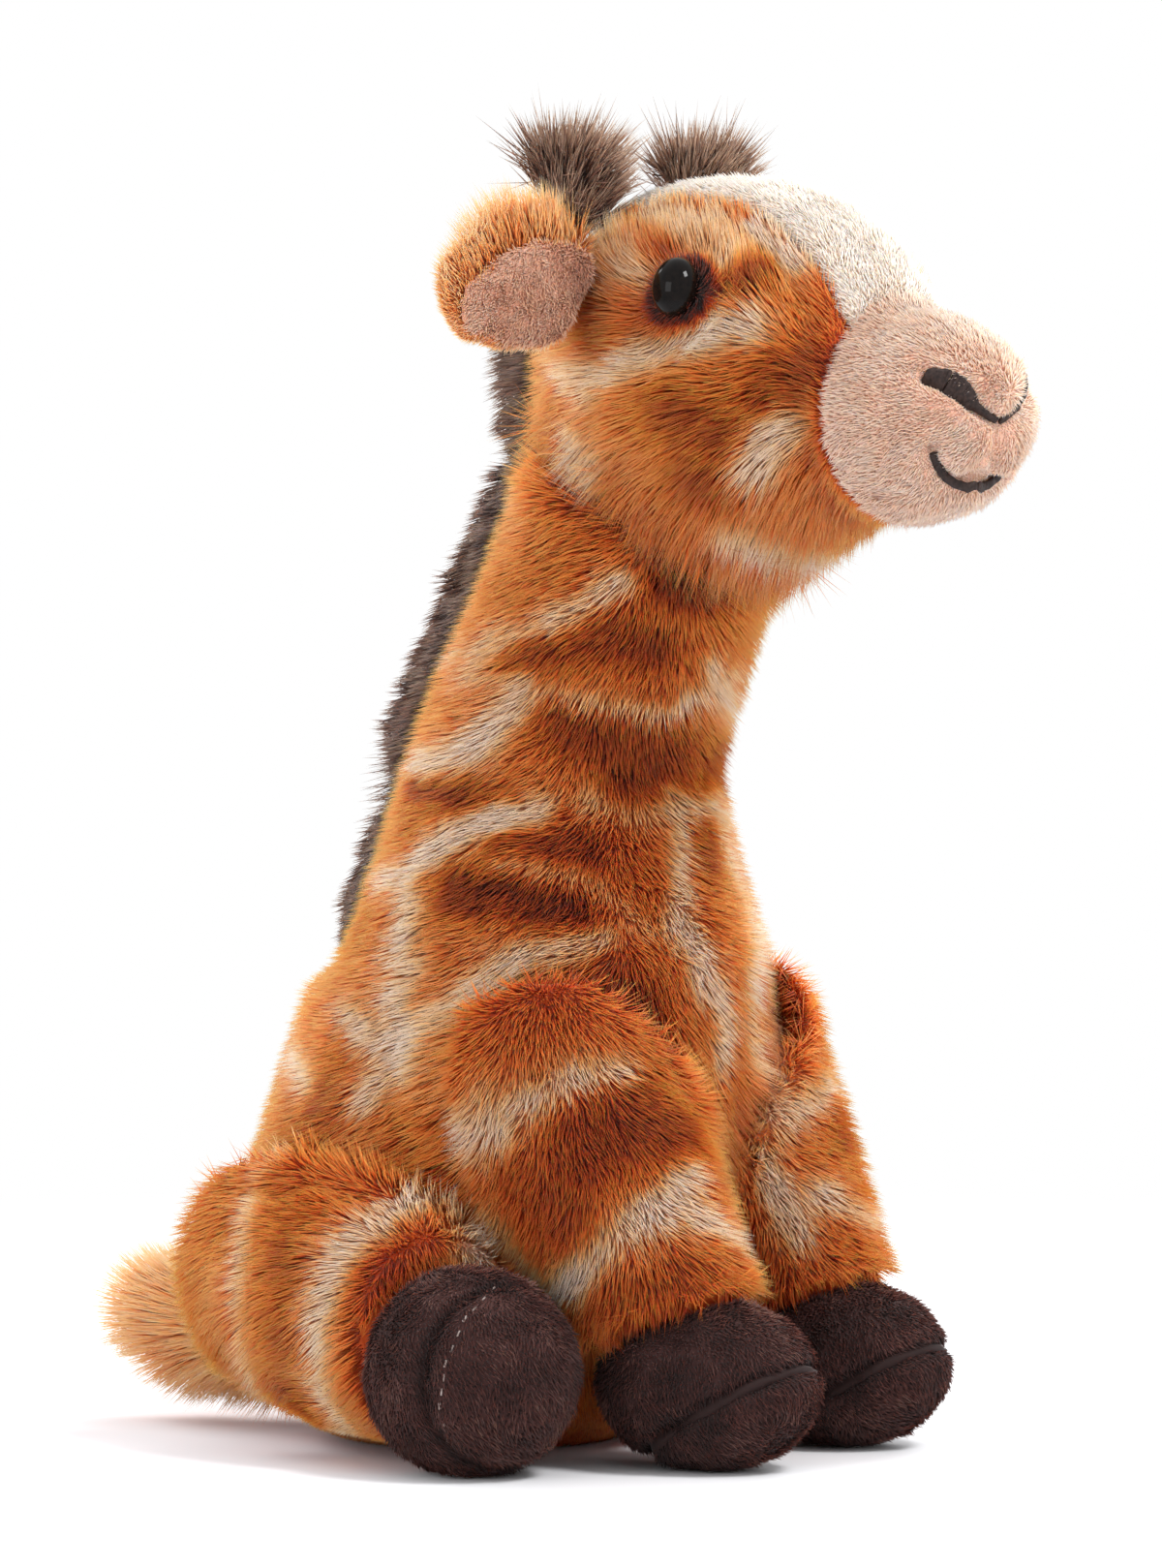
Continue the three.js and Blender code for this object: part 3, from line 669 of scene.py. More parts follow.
BODY_FURS = {
    "body_fur_seat": (-0.01, 0.034), "body_fur_belly": (0.034, 0.07),
    "body_fur_chest": (0.07, 0.108), "body_fur_shoulders": (0.108, 0.15),
    "body_fur_neck": (0.15, 0.3),
}
BODY_FUR_SEED = 20
body_hidden = np.maximum(
    1 - ease(leg_reach, *HIDDEN_BY_LEG),
    1 - ease(reach_of(body_places, "head_stuffing"), *HIDDEN_BY_HEAD),
)
for index, (name, (low, high)) in enumerate(BODY_FURS.items()):
    band = ((body_height >= low) & (body_height < high)) * (1 - HIDDEN_THINNING * body_hidden)
    fur = grow_pile(
        name, body, body_tone, body_comb, body_length, band,
        seed=BODY_FUR_SEED + index, **COAT_PILE,
    )
    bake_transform(fur)

# Head: the same printed pile over the cheeks, the jaw and the back of the skull, stuffed firmly.
# The nap runs back from the muzzle, rises over the brow and hangs down at the jaw.
HEAD_NODES = ("head_skin", "head_stuffing")
HEAD_VOXEL = 0.0018
HEAD_SMOOTHING = 4
HEAD_TURN = math.radians(-9)
HEAD_TURN_CENTRE = np.array([0, -0.01153, 0])
FACE_LENGTH = 0.0072
FACE_INSET = 0.0012
FACE_DEPTH = 0.0030
FACE_DEPTH_BY_TRIM = (0.0005, 0.007)
FACE_DEPTH_BY_EYE = (0.004, 0.011)
SKIN_EDGE = (0.0012, 0.0022)
MANE_EDGE = (0.0005, 0.003)
BROW_HEIGHTS = (0.228, 0.246)
JAW_HEIGHTS = (0.186, 0.205)
ROUND_EYE = (0.008, 0.018)
ROUND_FOREHEAD = (0.006, 0.018)
FOREHEAD_RISE = np.array([0, 0, 0.02])
OVER_NECK = (0.003, 0.014)
BY_EAR = (0.003, 0.012)
BACK_FLOW = 0.9
BROW_FLOW = [0, 0, 1.2]
JAW_FLOW = [0, -0.25, -0.7]
CHEEK_FLOW = [0, 0, -0.35]
NECK_FLOW = [0, 0.2, -1.4]
EYE_FLOW = 1.5
FOREHEAD_FLOW = 1.2
FACE_SWAY = 0.5
FACE_SWAY_SIZE = 0.013
MUZZLE_COMB = 0.3
MUZZLE_COMB_REACH = (0.001, 0.005)
EYE_RING = (0.0074, 0.0090)
EYE_PILE = 0.4
EYE_PILE_REACH = (0.007, 0.014)
MUZZLE_PILE = 0.5
MUZZLE_PILE_REACH = (0.001, 0.009)
NECK_EXTRA = 0.5
EAR_EXTRA = 0.9
JAW_EXTRA = 0.3
FOREHEAD_TRIM = 0.4
FOREHEAD_TRIM_REACH = (0.003, 0.011)
HEAD_STROKES = {
    "under_eye": (13, 0.95, (648, 376), (680, 368), (722, 354), (772, 336)),
    "under_eye_end": (8, 0.7, (598, 388), (620, 394), (648, 382)),
    # The brow strokes are the brow's pale print and painted light on its lit top.
    "brow": (22, 0.65, (640, 225), (690, 214), (728, 236), (760, 262)),
    "brow_top": (13, 0.6, (640, 206), (690, 200), (722, 206), (750, 226)),
    "forehead_edge": (20, 1.0, (690, 186), (748, 196), (786, 224), (822, 262)),
    "brow_back": (16, 0.6, (612, 262), (640, 262), (668, 286)),
    "eye_front": (9, 0.55, (728, 310), (744, 280), (740, 252)),
    "cheek_back": (16, 0.9, (574, 446), (590, 458), (614, 476)),
    "cheek_notch": (9, 0.75, (590, 385), (606, 400), (614, 415)),
    "cheek_front": (18, 0.9, (812, 440), (792, 462), (766, 490)),
    "jaw_front": (13, 0.85, (752, 545), (790, 556), (830, 562)),
    "jaw_middle": (11, 0.7, (600, 516), (640, 530), (660, 540)),
    "jaw_back": (13, 0.85, (574, 552), (600, 566), (622, 566)),
    "jaw_low": (9, 0.7, (700, 592), (728, 600), (760, 592)),
    "chin_tip": (10, 0.6, (880, 560), (925, 560)),
    "crown": (12, 0.6, (580, 206), (612, 215)),
}
HEAD_BLOTS = {
    "eye_corner": (24, 0.9, (766, 286), (790, 278)),
    "cheek_dark": (34, 0.95, (800, 400), (836, 376)),
    "cheek_low": (24, 0.9, (730, 496), (756, 500)),
    "cheek_middle": (34, 0.7, (690, 425), (740, 440), (720, 480)),
    "ear_below": (22, 0.6, (620, 340), (640, 360)),
    "eye_shade": (9, 1.0, (676, 258), (692, 264)),
    "jaw_dark": (20, 0.5, (650, 500)),
}
head_turn = np.array([
    [math.cos(HEAD_TURN), -math.sin(HEAD_TURN), 0],
    [math.sin(HEAD_TURN), math.cos(HEAD_TURN), 0],
    [0, 0, 1],
])


def head_mirrored(places):
    """Places mirrored in the head's own middle plane, which is turned to the toy's right."""
    level = (places - HEAD_TURN_CENTRE) @ head_turn
    return mirrored(level) @ head_turn.T + HEAD_TURN_CENTRE


def spans(places, middles):
    """How far each place lies from each of some middles."""
    return np.array([np.linalg.norm(places - middle, axis=1) for middle in middles])


head = closed_form("head_cover", HEAD_NODES, HEAD_VOXEL, HEAD_SMOOTHING)
head_places = points_of(head)[0]
furred = 1 - ease(reach_of(head_places, "head_skin"), *SKIN_EDGE)
furred = furred * ease(reach_of(head_places, "mane_head"), *MANE_EDGE)
trim_reach = reach_of(head_places, "forehead_panel", "muzzle_skin")
eye_middles = np.array([middle_of("eye_right"), middle_of("eye_left")])
eye_reach = spans(head_places, eye_middles).min(axis=0)
face_depth = FACE_DEPTH * ease(trim_reach, *FACE_DEPTH_BY_TRIM)
sink(head, FACE_INSET + face_depth * ease(eye_reach, *FACE_DEPTH_BY_EYE))

head_places, head_normals = points_of(head)
muzzle_middle = middle_of("muzzle_skin")
brow = ease(head_places[:, 2], *BROW_HEIGHTS)
jaw = 1 - ease(head_places[:, 2], *JAW_HEIGHTS)
over_neck = 1 - ease(reach_of(head_places, "neck_skin"), *OVER_NECK)
by_ear = 1 - ease(reach_of(head_places, "ear_back_right", "ear_back_left"), *BY_EAR)
forehead_reach = reach_of(head_places, "forehead_panel")
muzzle_reach = reach_of(head_places, "muzzle_skin")
near_eye = eye_middles[spans(head_places, eye_middles).argmin(axis=0)]
away_from_eye = unit(head_places - near_eye) * (1 - ease(eye_reach, *ROUND_EYE))[:, None]
over_forehead = unit(middle_of("forehead_panel") + FOREHEAD_RISE - head_places)
over_forehead = over_forehead * (1 - ease(forehead_reach, *ROUND_FOREHEAD))[:, None]
face_flow = unit(head_places - muzzle_middle) * BACK_FLOW
face_flow = face_flow + np.outer(brow, BROW_FLOW) + np.outer(jaw, JAW_FLOW)
face_flow = face_flow + np.outer(1 - brow, CHEEK_FLOW)
face_flow = face_flow + EYE_FLOW * away_from_eye + FOREHEAD_FLOW * over_forehead
face_flow = face_flow + np.outer(over_neck, NECK_FLOW)
face_flow = face_flow + FACE_SWAY * sway(head_places, FACE_SWAY_SIZE, seed=21)
head_comb = lay_flat(face_flow, head_normals)
head_comb = head_comb * rising(MUZZLE_COMB, ease(muzzle_reach, *MUZZLE_COMB_REACH))[:, None]
head_tone = coat_tone(head, [(head, HEAD_STROKES, HEAD_BLOTS)], head_comb, head_mirrored)
head_tone = np.maximum(head_tone, 1 - ease(eye_reach, *EYE_RING))
head_length = FACE_LENGTH * rising(EYE_PILE, ease(eye_reach, *EYE_PILE_REACH))
head_length = head_length * rising(MUZZLE_PILE, ease(muzzle_reach, *MUZZLE_PILE_REACH))
head_length = head_length * (1 + NECK_EXTRA * over_neck) * (1 + EAR_EXTRA * by_ear)
by_forehead = 1 - ease(forehead_reach, *FOREHEAD_TRIM_REACH)
head_length = head_length * (1 + JAW_EXTRA * jaw) * (1 - FOREHEAD_TRIM * by_forehead)
dye(head, coat, head_tone)
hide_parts(*HEAD_NODES)
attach(head, "head")
FACE_PILE = dict(COAT_PILE, spacing=0.00042, width=0.00035, lock_size=0.0036, lift=1.1)
face_fur = grow_pile(
    "head_fur", head, head_tone, head_comb, head_length, furred, seed=31, **FACE_PILE,
)
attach(face_fur, "head")

# Forehead and muzzle: separate cuts of short brushed pile, cream down the forehead and pinkish
# beige round the muzzle, sewn to the cheeks with the seam drawn in.
TRIM_VOXEL = 0.0011
TRIM_SMOOTHING = 3
TRIM_LENGTH = 0.0024
TRIM_OUTSIDE = (0.0, 0.01)
SHORT_PILE = dict(
    strand=pile_strand, spacing=0.0004, width=0.00042, lift=0.7, lock_size=0.0030,
    lock_pull=0.15, lock_sway=0.5, stray=0.25, tone_spread=0.08,
)
# A line runs through pixels of the picture; a third number is half the length of the stitches
# across it, in pixels too.
NOSE_LINES = {
    "nostril": (
        (956, 388, 9), (962, 391, 13), (974, 396, 16.5), (988, 404, 16.5), (998, 411, 12),
        (1006, 418, 5), (1020, 428, 3.5), (1036, 437, 4),
    ),
    "mouth": (
        (964, 467, 3.5), (967, 479, 4.5), (973, 491, 4.5), (984, 499, 4.5), (998, 503, 4.5),
        (1010, 499, 4), (1020, 494, 4), (1036, 500, 3.5),
    ),
    "lip": ((1034, 438), (1035, 452), (1033, 474), (1030, 492)),
}
LIP_GROOVE = 0.0030
LIP_REACH = 0.0022
LIP_PILE = 0.35
LIP_PILE_REACH = (0.001, 0.004)
# The muzzle turns from beige to cream over a slope that falls towards the nose: a painted highlight
# on its top and front.
HIGHLIGHT_SLOPE = 0.35
HIGHLIGHT_RISE = (0.012, 0.026)
BEIGE_TONE = 0.34
CREAM_AND_HIGHLIGHT_TONE = 0.6
BEIGE_MOTTLE = 0.2
CREAM_AND_HIGHLIGHT_MOTTLE = 0.12
MOTTLE_SIZE = 0.007
TRIM_SWAY = 0.6
TRIM_SWAY_SIZE = 0.01
NOSE_TIP = np.array([0, -0.02, 0.004])
trim_cloth = pile_cloth(
    "trim_pile_cloth",
    [(0, "E2B098"), (0.3, "F4C8B2"), (0.6, "FADECC"), (1, "FFF2E4")],
    [(0, "DAD0CA"), (0.4, "F6F2F0"), (1, "FFFFFF")],
    roughness=0.8, sheen=0.06, clear=0.6,
)
TRIMS = {
    "forehead": ("forehead_panel", "cream_pile", 41),
    "muzzle": ("muzzle_skin", "beige_pile", 42),
}
trims = {}
for name, (cad_node, slot, seed) in TRIMS.items():
    cover = closed_form(name + "_cover", (cad_node,), TRIM_VOXEL, TRIM_SMOOTHING)
    drawn = np.concatenate([trace(cover, pixels)[:, :3] for pixels in NOSE_LINES.values()])
    length = np.full(len(cover.data.vertices), TRIM_LENGTH)
    if len(drawn):
        near = reach_to(points_of(cover)[0], np.concatenate([drawn, head_mirrored(drawn)]))
        sink(cover, LIP_GROOVE * np.exp(-(near / LIP_REACH) ** 2))
        length = length * rising(LIP_PILE, ease(near, *LIP_PILE_REACH))
    places, normals = points_of(cover)
    from_middle = places - middle_of("head_stuffing")
    outside = ease(np.sum(from_middle * normals, axis=1), *TRIM_OUTSIDE)
    # Painted highlight on the muzzle's top and front; the forehead is cream all over, its own
    # colour.
    cream_and_highlight = 1.0
    if name == "muzzle":
        slope = places[:, 2] - HIGHLIGHT_SLOPE * (places[:, 1] - muzzle_middle[1])
        cream_and_highlight = ease(slope, *(muzzle_middle[2] + rise for rise in HIGHLIGHT_RISE))
    mottle = (BEIGE_MOTTLE - CREAM_AND_HIGHLIGHT_MOTTLE * cream_and_highlight) * wander(places, MOTTLE_SIZE, seed)
    tone = np.clip(BEIGE_TONE + CREAM_AND_HIGHLIGHT_TONE * cream_and_highlight + mottle, 0, 1)
    flow = unit(places - muzzle_middle - NOSE_TIP)
    flow = flow + TRIM_SWAY * sway(places, TRIM_SWAY_SIZE, seed)
    dye(cover, trim_cloth, tone)
    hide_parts(cad_node)
    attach(cover, "head")
    pile = grow_pile(
        name + "_pile", cover, tone, lay_flat(flow, normals), length, outside,
        seed=seed, material=trim_cloth, **SHORT_PILE,
    )
    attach(pile, "head")
    trims[name] = cover

# Nose and mouth: satin stitches of dark brown thread laid side by side across a drawn line, the
# two nostrils joined under the tip of the nose.
THREAD_WIDTH = 0.0009
THREAD_STEP = 1
THREAD_RISE = 0.0007
THREAD_SIDES = 6
THREAD_RINGS = ((-0.5, 0.25), (-0.4, 0.5), (0.4, 0.5), (0.5, 0.25))
THREAD_GRAIN = 1500.0
HEADING_SMOOTHING = 6


def speckled(name, dark, light, scale, roughness, specular):
    """A plain material with a faint grain between two colours."""
    material = bpy.data.materials.new(name)
    material.use_nodes = True
    tree = material.node_tree
    surface = tree.nodes["Principled BSDF"]
    grain = node(tree, "ShaderNodeTexNoise", {
        "Vector": node(tree, "ShaderNodeTexCoord").outputs["Object"], "Scale": scale,
    })
    colour = ramp(tree, grain.outputs[0], [(0.3, dark), (0.7, light)])
    tree.links.new(colour, surface.inputs["Base Color"])
    surface.inputs["Roughness"].default_value = roughness
    surface.inputs["Specular IOR Level"].default_value = specular
    return material


def thread_bar(name):
    """A stitch 1 long and 1 wide, lying along Z with rounded ends."""
    turns = [math.tau * i / THREAD_SIDES for i in range(THREAD_SIDES)]
    places = [
        (radius * math.cos(turn), radius * math.sin(turn), height)
        for height, radius in THREAD_RINGS for turn in turns
    ]
    ends = range(THREAD_SIDES - 1, -1, -1), range(3 * THREAD_SIDES, 4 * THREAD_SIDES)
    faces = [tuple(end) for end in ends]
    for low in range(0, 3 * THREAD_SIDES, THREAD_SIDES):
        for i in range(THREAD_SIDES):
            j = (i + 1) % THREAD_SIDES
            faces.append((low + i, low + j, low + THREAD_SIDES + j, low + THREAD_SIDES + i))
    mesh = bpy.data.meshes.new(name)
    mesh.from_pydata(places, [], faces)
    return bpy.data.objects.new(name, mesh)


def stitch_node_tree():
    """A bar of thread at each point, turned and stretched as the point says."""
    tree = open_tree(
        "stitches", geometry="Geometry", thread="Object", material="Material", width="Float",
    )
    given = tree.nodes.new("NodeGroupInput").outputs
    across = node(tree, "GeometryNodeInputNamedAttribute", {"Name": "across"},
                  data_type="FLOAT_VECTOR")
    reach = node(tree, "GeometryNodeInputNamedAttribute", {"Name": "reach"}, data_type="FLOAT")
    laid = node(tree, "FunctionNodeAlignRotationToVector", {"Vector": across.outputs[0]}, axis="Z")
    size = node(tree, "ShaderNodeCombineXYZ", {
        0: given["Width"], 1: given["Width"], 2: reach.outputs[0],
    })
    shape = node(tree, "GeometryNodeObjectInfo", {"Object": given["Thread"]})
    sewn = node(tree, "GeometryNodeInstanceOnPoints", {
        "Points": given["Geometry"], "Instance": shape.outputs["Geometry"],
        "Rotation": laid.outputs[0], "Scale": size.outputs[0],
    })
    real = node(tree, "GeometryNodeRealizeInstances", {"Geometry": sewn.outputs[0]})
    return close_tree(tree, real.outputs[0], given["Material"])


stitch_tree = stitch_node_tree()
thread = thread_bar("thread")


def sew(name, places, across, reach, width, material):
    """One mesh of stitches at some places, each lying along its own direction."""
    cloud = bpy.data.meshes.new(name + "_points")
    cloud.from_pydata([tuple(place) for place in places], [], [])
    write(cloud, "across", across)
    write(cloud, "reach", reach)
    settings = dict(thread=thread, material=material, width=width)
    return put(name, run_tree(name, stitch_tree, cloud, ("across", "reach"), settings))


dark_thread = speckled(
    "dark_thread", "1E1412", "3A2B27", scale=THREAD_GRAIN, roughness=0.6, specular=0.3,
)
muzzle_places, muzzle_normals = points_of(trims["muzzle"])
for name in ("nostril", "mouth"):
    drawn = trace(trims["muzzle"], NOSE_LINES[name], THREAD_STEP)
    to_right_eye, to_left_eye = spans(drawn[:, :3], eye_middles)
    drawn = drawn[to_right_eye <= to_left_eye]
    line = drawn[:, :3]
    reach = 2 * PIXEL * drawn[:, 3]
    nearest = [np.argmin(np.sum((muzzle_places - place) ** 2, axis=1)) for place in line]
    facing = muzzle_normals[nearest]
    heading = np.gradient(line, axis=0)
    for _ in range(HEADING_SMOOTHING):
        heading[1:-1] = (heading[:-2] + heading[1:-1] + heading[2:]) / 3
    across = unit(np.cross(facing, unit(heading)))
    line = line + facing * THREAD_RISE
    far_line = head_mirrored(line)
    far_across = head_mirrored(line + across) - far_line
    stitches = sew(
        name + "_stitches", np.concatenate([line, far_line]),
        np.concatenate([across, far_across]), np.concatenate([reach, reach]),
        THREAD_WIDTH, dark_thread,
    )
    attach(stitches, "head")

# Front legs: stuffed tubes of printed pile sewn on at the shoulder, each closed by a hoof of short
# chocolate pile in two cuts, an upper and a sole, with the seam pinched in round the toe.
UPPER_STROKES = {
    "elbow": (26, 0.95, (462, 1206), (490, 1182), (520, 1160)),
    "shoulder_fold": (13, 0.85, (520, 1160), (572, 1131), (636, 1114)),
}
FRONT_STROKES = {
    "shin": (12, 0.85, (585, 1336), (601, 1322), (647, 1282), (676, 1253)),
    "shin_top": (18, 0.9, (672, 1262), (694, 1240), (706, 1222)),
    "shin_fork": (13, 0.85, (706, 1250), (730, 1268), (752, 1290), (775, 1310)),
    "inner_edge": (12, 0.6, (740, 1130), (752, 1180), (762, 1230)),
    "heel_edge": (10, 0.6, (520, 1262), (580, 1330)),
}
FRONT_BLOTS = {
    "leg_dark": (46, 0.8, (600, 1190), (660, 1160), (690, 1180)),
    "leg_back": (30, 0.7, (545, 1215), (590, 1262)),
    "ankle_dark": (26, 0.45, (640, 1350), (700, 1330)),
}
FAR_STROKES = {
    "far_thigh": (16, 0.85, (800, 1160), (838, 1140), (862, 1100)),
    "far_shin": (15, 0.9, (845, 1240), (880, 1262), (922, 1284)),
    "far_inner": (13, 0.9, (790, 1212), (806, 1250), (824, 1286)),
}
FAR_BLOTS = {
    "far_dark": (26, 0.8, (858, 1182)),
    # Painted shade in the gap between the front legs.
    "far_gap_shade": (26, 0.7, (770, 1120)),
}
LEG_VOXEL = 0.0020
LEG_SMOOTHING = 5
LEG_SWELL = 0.0015
LEG_FOOT_INSET = 0.0008
LEG_INSET_HEIGHTS = (0.001, 0.018)
LEG_PILE_HEIGHTS = (0.003, 0.022)
LEG_FOOT_PILE = 0.25
LEG_DEEPEST = 0.35
AGAINST_BODY = (0.001, 0.005)
FACING_BODY = (0.3, 0.8)
NEAR_BODY = (0.002, 0.010)
NEAR_BODY_LIFT = 0.5
PRESSED = (0.8, 1)
PRESSED_THINNING = 0.5
CUFF = (0.002, 0.012)
CUFF_EXTRA = 0.25
CUFF_EDGE = (0.0010, 0.0018)
LEG_SWAY = 0.6
LEG_SWAY_SIZE = 0.015
RAY_SKIP = 1e-4
FRONT_FLOW = [0, -0.35, -1.0]
HOOF_VOXEL = 0.0010
HOOF_SMOOTHING = 4
HOOF_LENGTH = 0.0021
HOOF_GROOVES = {"front": 0.0026, "hind": 0.0013}
HOOF_GROOVE_REACH = 0.0014
# The hind hooves' tone is their own; the front hooves are painted darker, which is painted shade.
HOOF_TONES_AND_SHADE = {"front": 0.32, "hind": 0.45}
HOOF_MOTTLE = 0.4
HOOF_MOTTLE_SIZE = 0.008
HOOF_SEAM_TONE = 0.6
HOOF_SEAM_REACH = 0.0018
HOOF_OUTSIDE = (0.0, 0.006)
HOOF_NAP = np.array([0, -0.6, -0.8])
HOOF_SWAY = 0.9
HOOF_SWAY_SIZE = 0.012
hoof_cloth = pile_cloth(
    "hoof_pile_cloth",
    [(0, "281311"), (0.5, "482825"), (1, "7E5954")],
    [(0, "A89E9A"), (0.4, "ECE8E6"), (1, "FFFFFF")],
    roughness=0.75, sheen=0.04, clear=0.2,
)
HOOF_PILE = dict(SHORT_PILE, spacing=0.00054, width=0.00046, tone_spread=0.24)


def turned_to(places, normals, cad_node):
    """1 where an outward direction points at a CAD node's nearest face, 0 along it, -1 away."""
    tree = search_tree(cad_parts[cad_node].data)
    faced = np.array([tree.find_nearest(Vector(place))[1] for place in places])
    return -np.sum(faced * normals, axis=1)


def thickness_of(form):
    """How thick a form is behind each of its points."""
    tree = search_tree(form.data)
    hits = [
        tree.ray_cast(Vector(place - normal * RAY_SKIP), Vector(-normal))[3]
        for place, normal in zip(*points_of(form))
    ]
    return np.array([RAY_SKIP + hit if hit is not None else 0 for hit in hits])


def leg_cover(end, side, prints, flow, seed):
    """A stuffed leg: its cover, swelled against the body, and the pile above the hoof.

    A print with no form to be drawn on is drawn on the leg itself.
    """
    name = f"{end}_leg_{side}"
    skin = f"{end}_leg_skin_{side}"
    stuffing = f"{end}_leg_stuffing_{side}"
    cover = closed_form(name + "_cover", (skin, stuffing), LEG_VOXEL, LEG_SMOOTHING)
    places, normals = points_of(cover)
    hoof_reach = reach_of(places, f"{end}_hoof_upper_{side}", f"{end}_hoof_sole_{side}")
    body_reach = reach_of(places, "torso_skin", "seat_panel")
    against_body = 1 - ease(body_reach, *AGAINST_BODY)
    against_body = against_body * ease(turned_to(places, normals, "torso_skin"), *FACING_BODY)
    near_body = 1 - ease(body_reach, *NEAR_BODY)
    depth = (COAT_INSET - LEG_FOOT_INSET) * ease(places[:, 2], *LEG_INSET_HEIGHTS)
    depth = np.minimum(LEG_FOOT_INSET + depth, LEG_DEEPEST * thickness_of(cover))
    sink(cover, depth * (1 - against_body) - LEG_SWELL * against_body)
    places, normals = points_of(cover)
    comb = lay_flat(flow(places) + LEG_SWAY * sway(places, LEG_SWAY_SIZE, seed), normals)
    comb = comb * (1 - NEAR_BODY_LIFT * near_body)[:, None]
    prints = [(drawn_on or cover, strokes, blots) for drawn_on, strokes, blots in prints]
    tone = coat_tone(cover, prints, unit(comb))
    length = COAT_LENGTH * rising(LEG_FOOT_PILE, ease(places[:, 2], *LEG_PILE_HEIGHTS))
    length = length * (1 + CUFF_EXTRA - CUFF_EXTRA * ease(hoof_reach, *CUFF))
    share = ease(hoof_reach, *CUFF_EDGE)
    share = share * (1 - PRESSED_THINNING * ease(against_body, *PRESSED))
    dye(cover, coat, tone)
    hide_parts(skin, stuffing)
    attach(cover, name)
    fur = grow_pile(name + "_fur", cover, tone, comb, length, share, seed=seed, **COAT_PILE)
    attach(fur, name)
    return cover


def hoof(end, side, seed):
    """A hoof: two cuts of short pile, drawn in along the seam between them."""
    name = f"{end}_hoof_{side}"
    upper = f"{end}_hoof_upper_{side}"
    sole = f"{end}_hoof_sole_{side}"
    form = closed_form(name, (upper, sole), HOOF_VOXEL, HOOF_SMOOTHING)
    places = points_of(form)[0]
    seam = np.maximum(reach_of(places, upper), reach_of(places, sole))
    sink(form, HOOF_GROOVES[end] * np.exp(-(seam / HOOF_GROOVE_REACH) ** 2))
    places, normals = points_of(form)
    from_middle = places - middle_of(upper, sole)
    outside = ease(np.sum(from_middle * normals, axis=1), *HOOF_OUTSIDE)
    # Painted shade: the front hooves start darker than the hind ones.
    tone = HOOF_TONES_AND_SHADE[end] + HOOF_MOTTLE * wander(places, HOOF_MOTTLE_SIZE, seed)
    tone = tone - HOOF_SEAM_TONE * np.exp(-(seam / HOOF_SEAM_REACH) ** 2)
    tone = np.clip(tone, 0, 1)
    flow = HOOF_NAP + HOOF_SWAY * sway(places, HOOF_SWAY_SIZE, seed)
    dye(form, hoof_cloth, tone)
    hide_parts(upper, sole)
    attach(form, f"{end}_leg_{side}")
    pile = grow_pile(
        name + "_pile", form, tone, lay_flat(flow, normals),
        np.full(len(places), HOOF_LENGTH), outside,
        seed=seed, material=hoof_cloth, **HOOF_PILE,
    )
    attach(pile, f"{end}_leg_{side}")
    return form


def front_flow(places):
    return np.tile(FRONT_FLOW, (len(places), 1))


near_prints = [(None, {**UPPER_STROKES, **FRONT_STROKES}, FRONT_BLOTS)]
near_leg = leg_cover("front", "right", near_prints, front_flow, seed=51)
hoof("front", "right", seed=52)
far_prints = [(None, FAR_STROKES, FAR_BLOTS), (near_leg, UPPER_STROKES, FRONT_BLOTS)]
leg_cover("front", "left", far_prints, front_flow, seed=55)
hoof("front", "left", seed=56)

# Hind legs: folded thighs of printed pile that lie along the body, each ending in a round hoof
# whose sole is a disc sewn across the ball.
HIND_STROKES = {
    "thigh_arc": (
        8, 0.7, (281, 1456), (258, 1375), (255, 1311), (270, 1230), (305, 1175), (340, 1162),
    ),
    "thigh_band": (13, 0.85, (352, 1478), (338, 1430), (334, 1398), (338, 1345), (354, 1302)),
    "thigh_crest": (18, 0.9, (354, 1302), (403, 1265), (438, 1243)),
    "thigh_front": (24, 0.95, (452, 1240), (478, 1262), (490, 1296)),
}
HIND_BLOTS = {
    "thigh_dark": (34, 0.9, (350, 1200), (400, 1190), (430, 1206)),
    "thigh_side": (26, 0.7, (300, 1300), (296, 1370), (306, 1440)),
    "knee_dark": (24, 0.4, (392, 1330)),
}
HIND_FLOW = [0, 0.5, -0.6]
HIND_OUTWARD = [0.5, 0, 0]
HOOF_SEAM = ((510, 1330), (480, 1362), (460, 1408), (454, 1452), (462, 1488))
HOOF_STITCH_STEP = 17
HOOF_STITCH_LENGTH = 0.0015
HOOF_STITCH_WIDTH = 0.0004
pale_thread = speckled(
    "pale_thread", "8E7E78", "C8BAB4", scale=THREAD_GRAIN, roughness=0.6, specular=0.3,
)


def hind_flow(places):
    """Back and down along the thigh, and out from the body."""
    return np.tile(HIND_FLOW, (len(places), 1)) + np.outer(np.sign(places[:, 0]), HIND_OUTWARD)


near_prints = [(None, HIND_STROKES, HIND_BLOTS)]
near_thigh = leg_cover("hind", "right", near_prints, hind_flow, seed=61)
far_prints = [(near_thigh, HIND_STROKES, HIND_BLOTS)]
leg_cover("hind", "left", far_prints, hind_flow, seed=65)
near_hoof = hoof("hind", "right", seed=62)
hoof("hind", "left", seed=66)
near_seam = trace(near_hoof, HOOF_SEAM, HOOF_STITCH_STEP)
for side, seam in (("right", near_seam), ("left", mirrored(near_seam))):
    stitches = sew(
        f"hind_hoof_{side}_stitches", seam, unit(np.gradient(seam, axis=0)),
        np.full(len(seam), HOOF_STITCH_LENGTH), HOOF_STITCH_WIDTH, pale_thread,
    )
    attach(stitches, f"hind_leg_{side}")

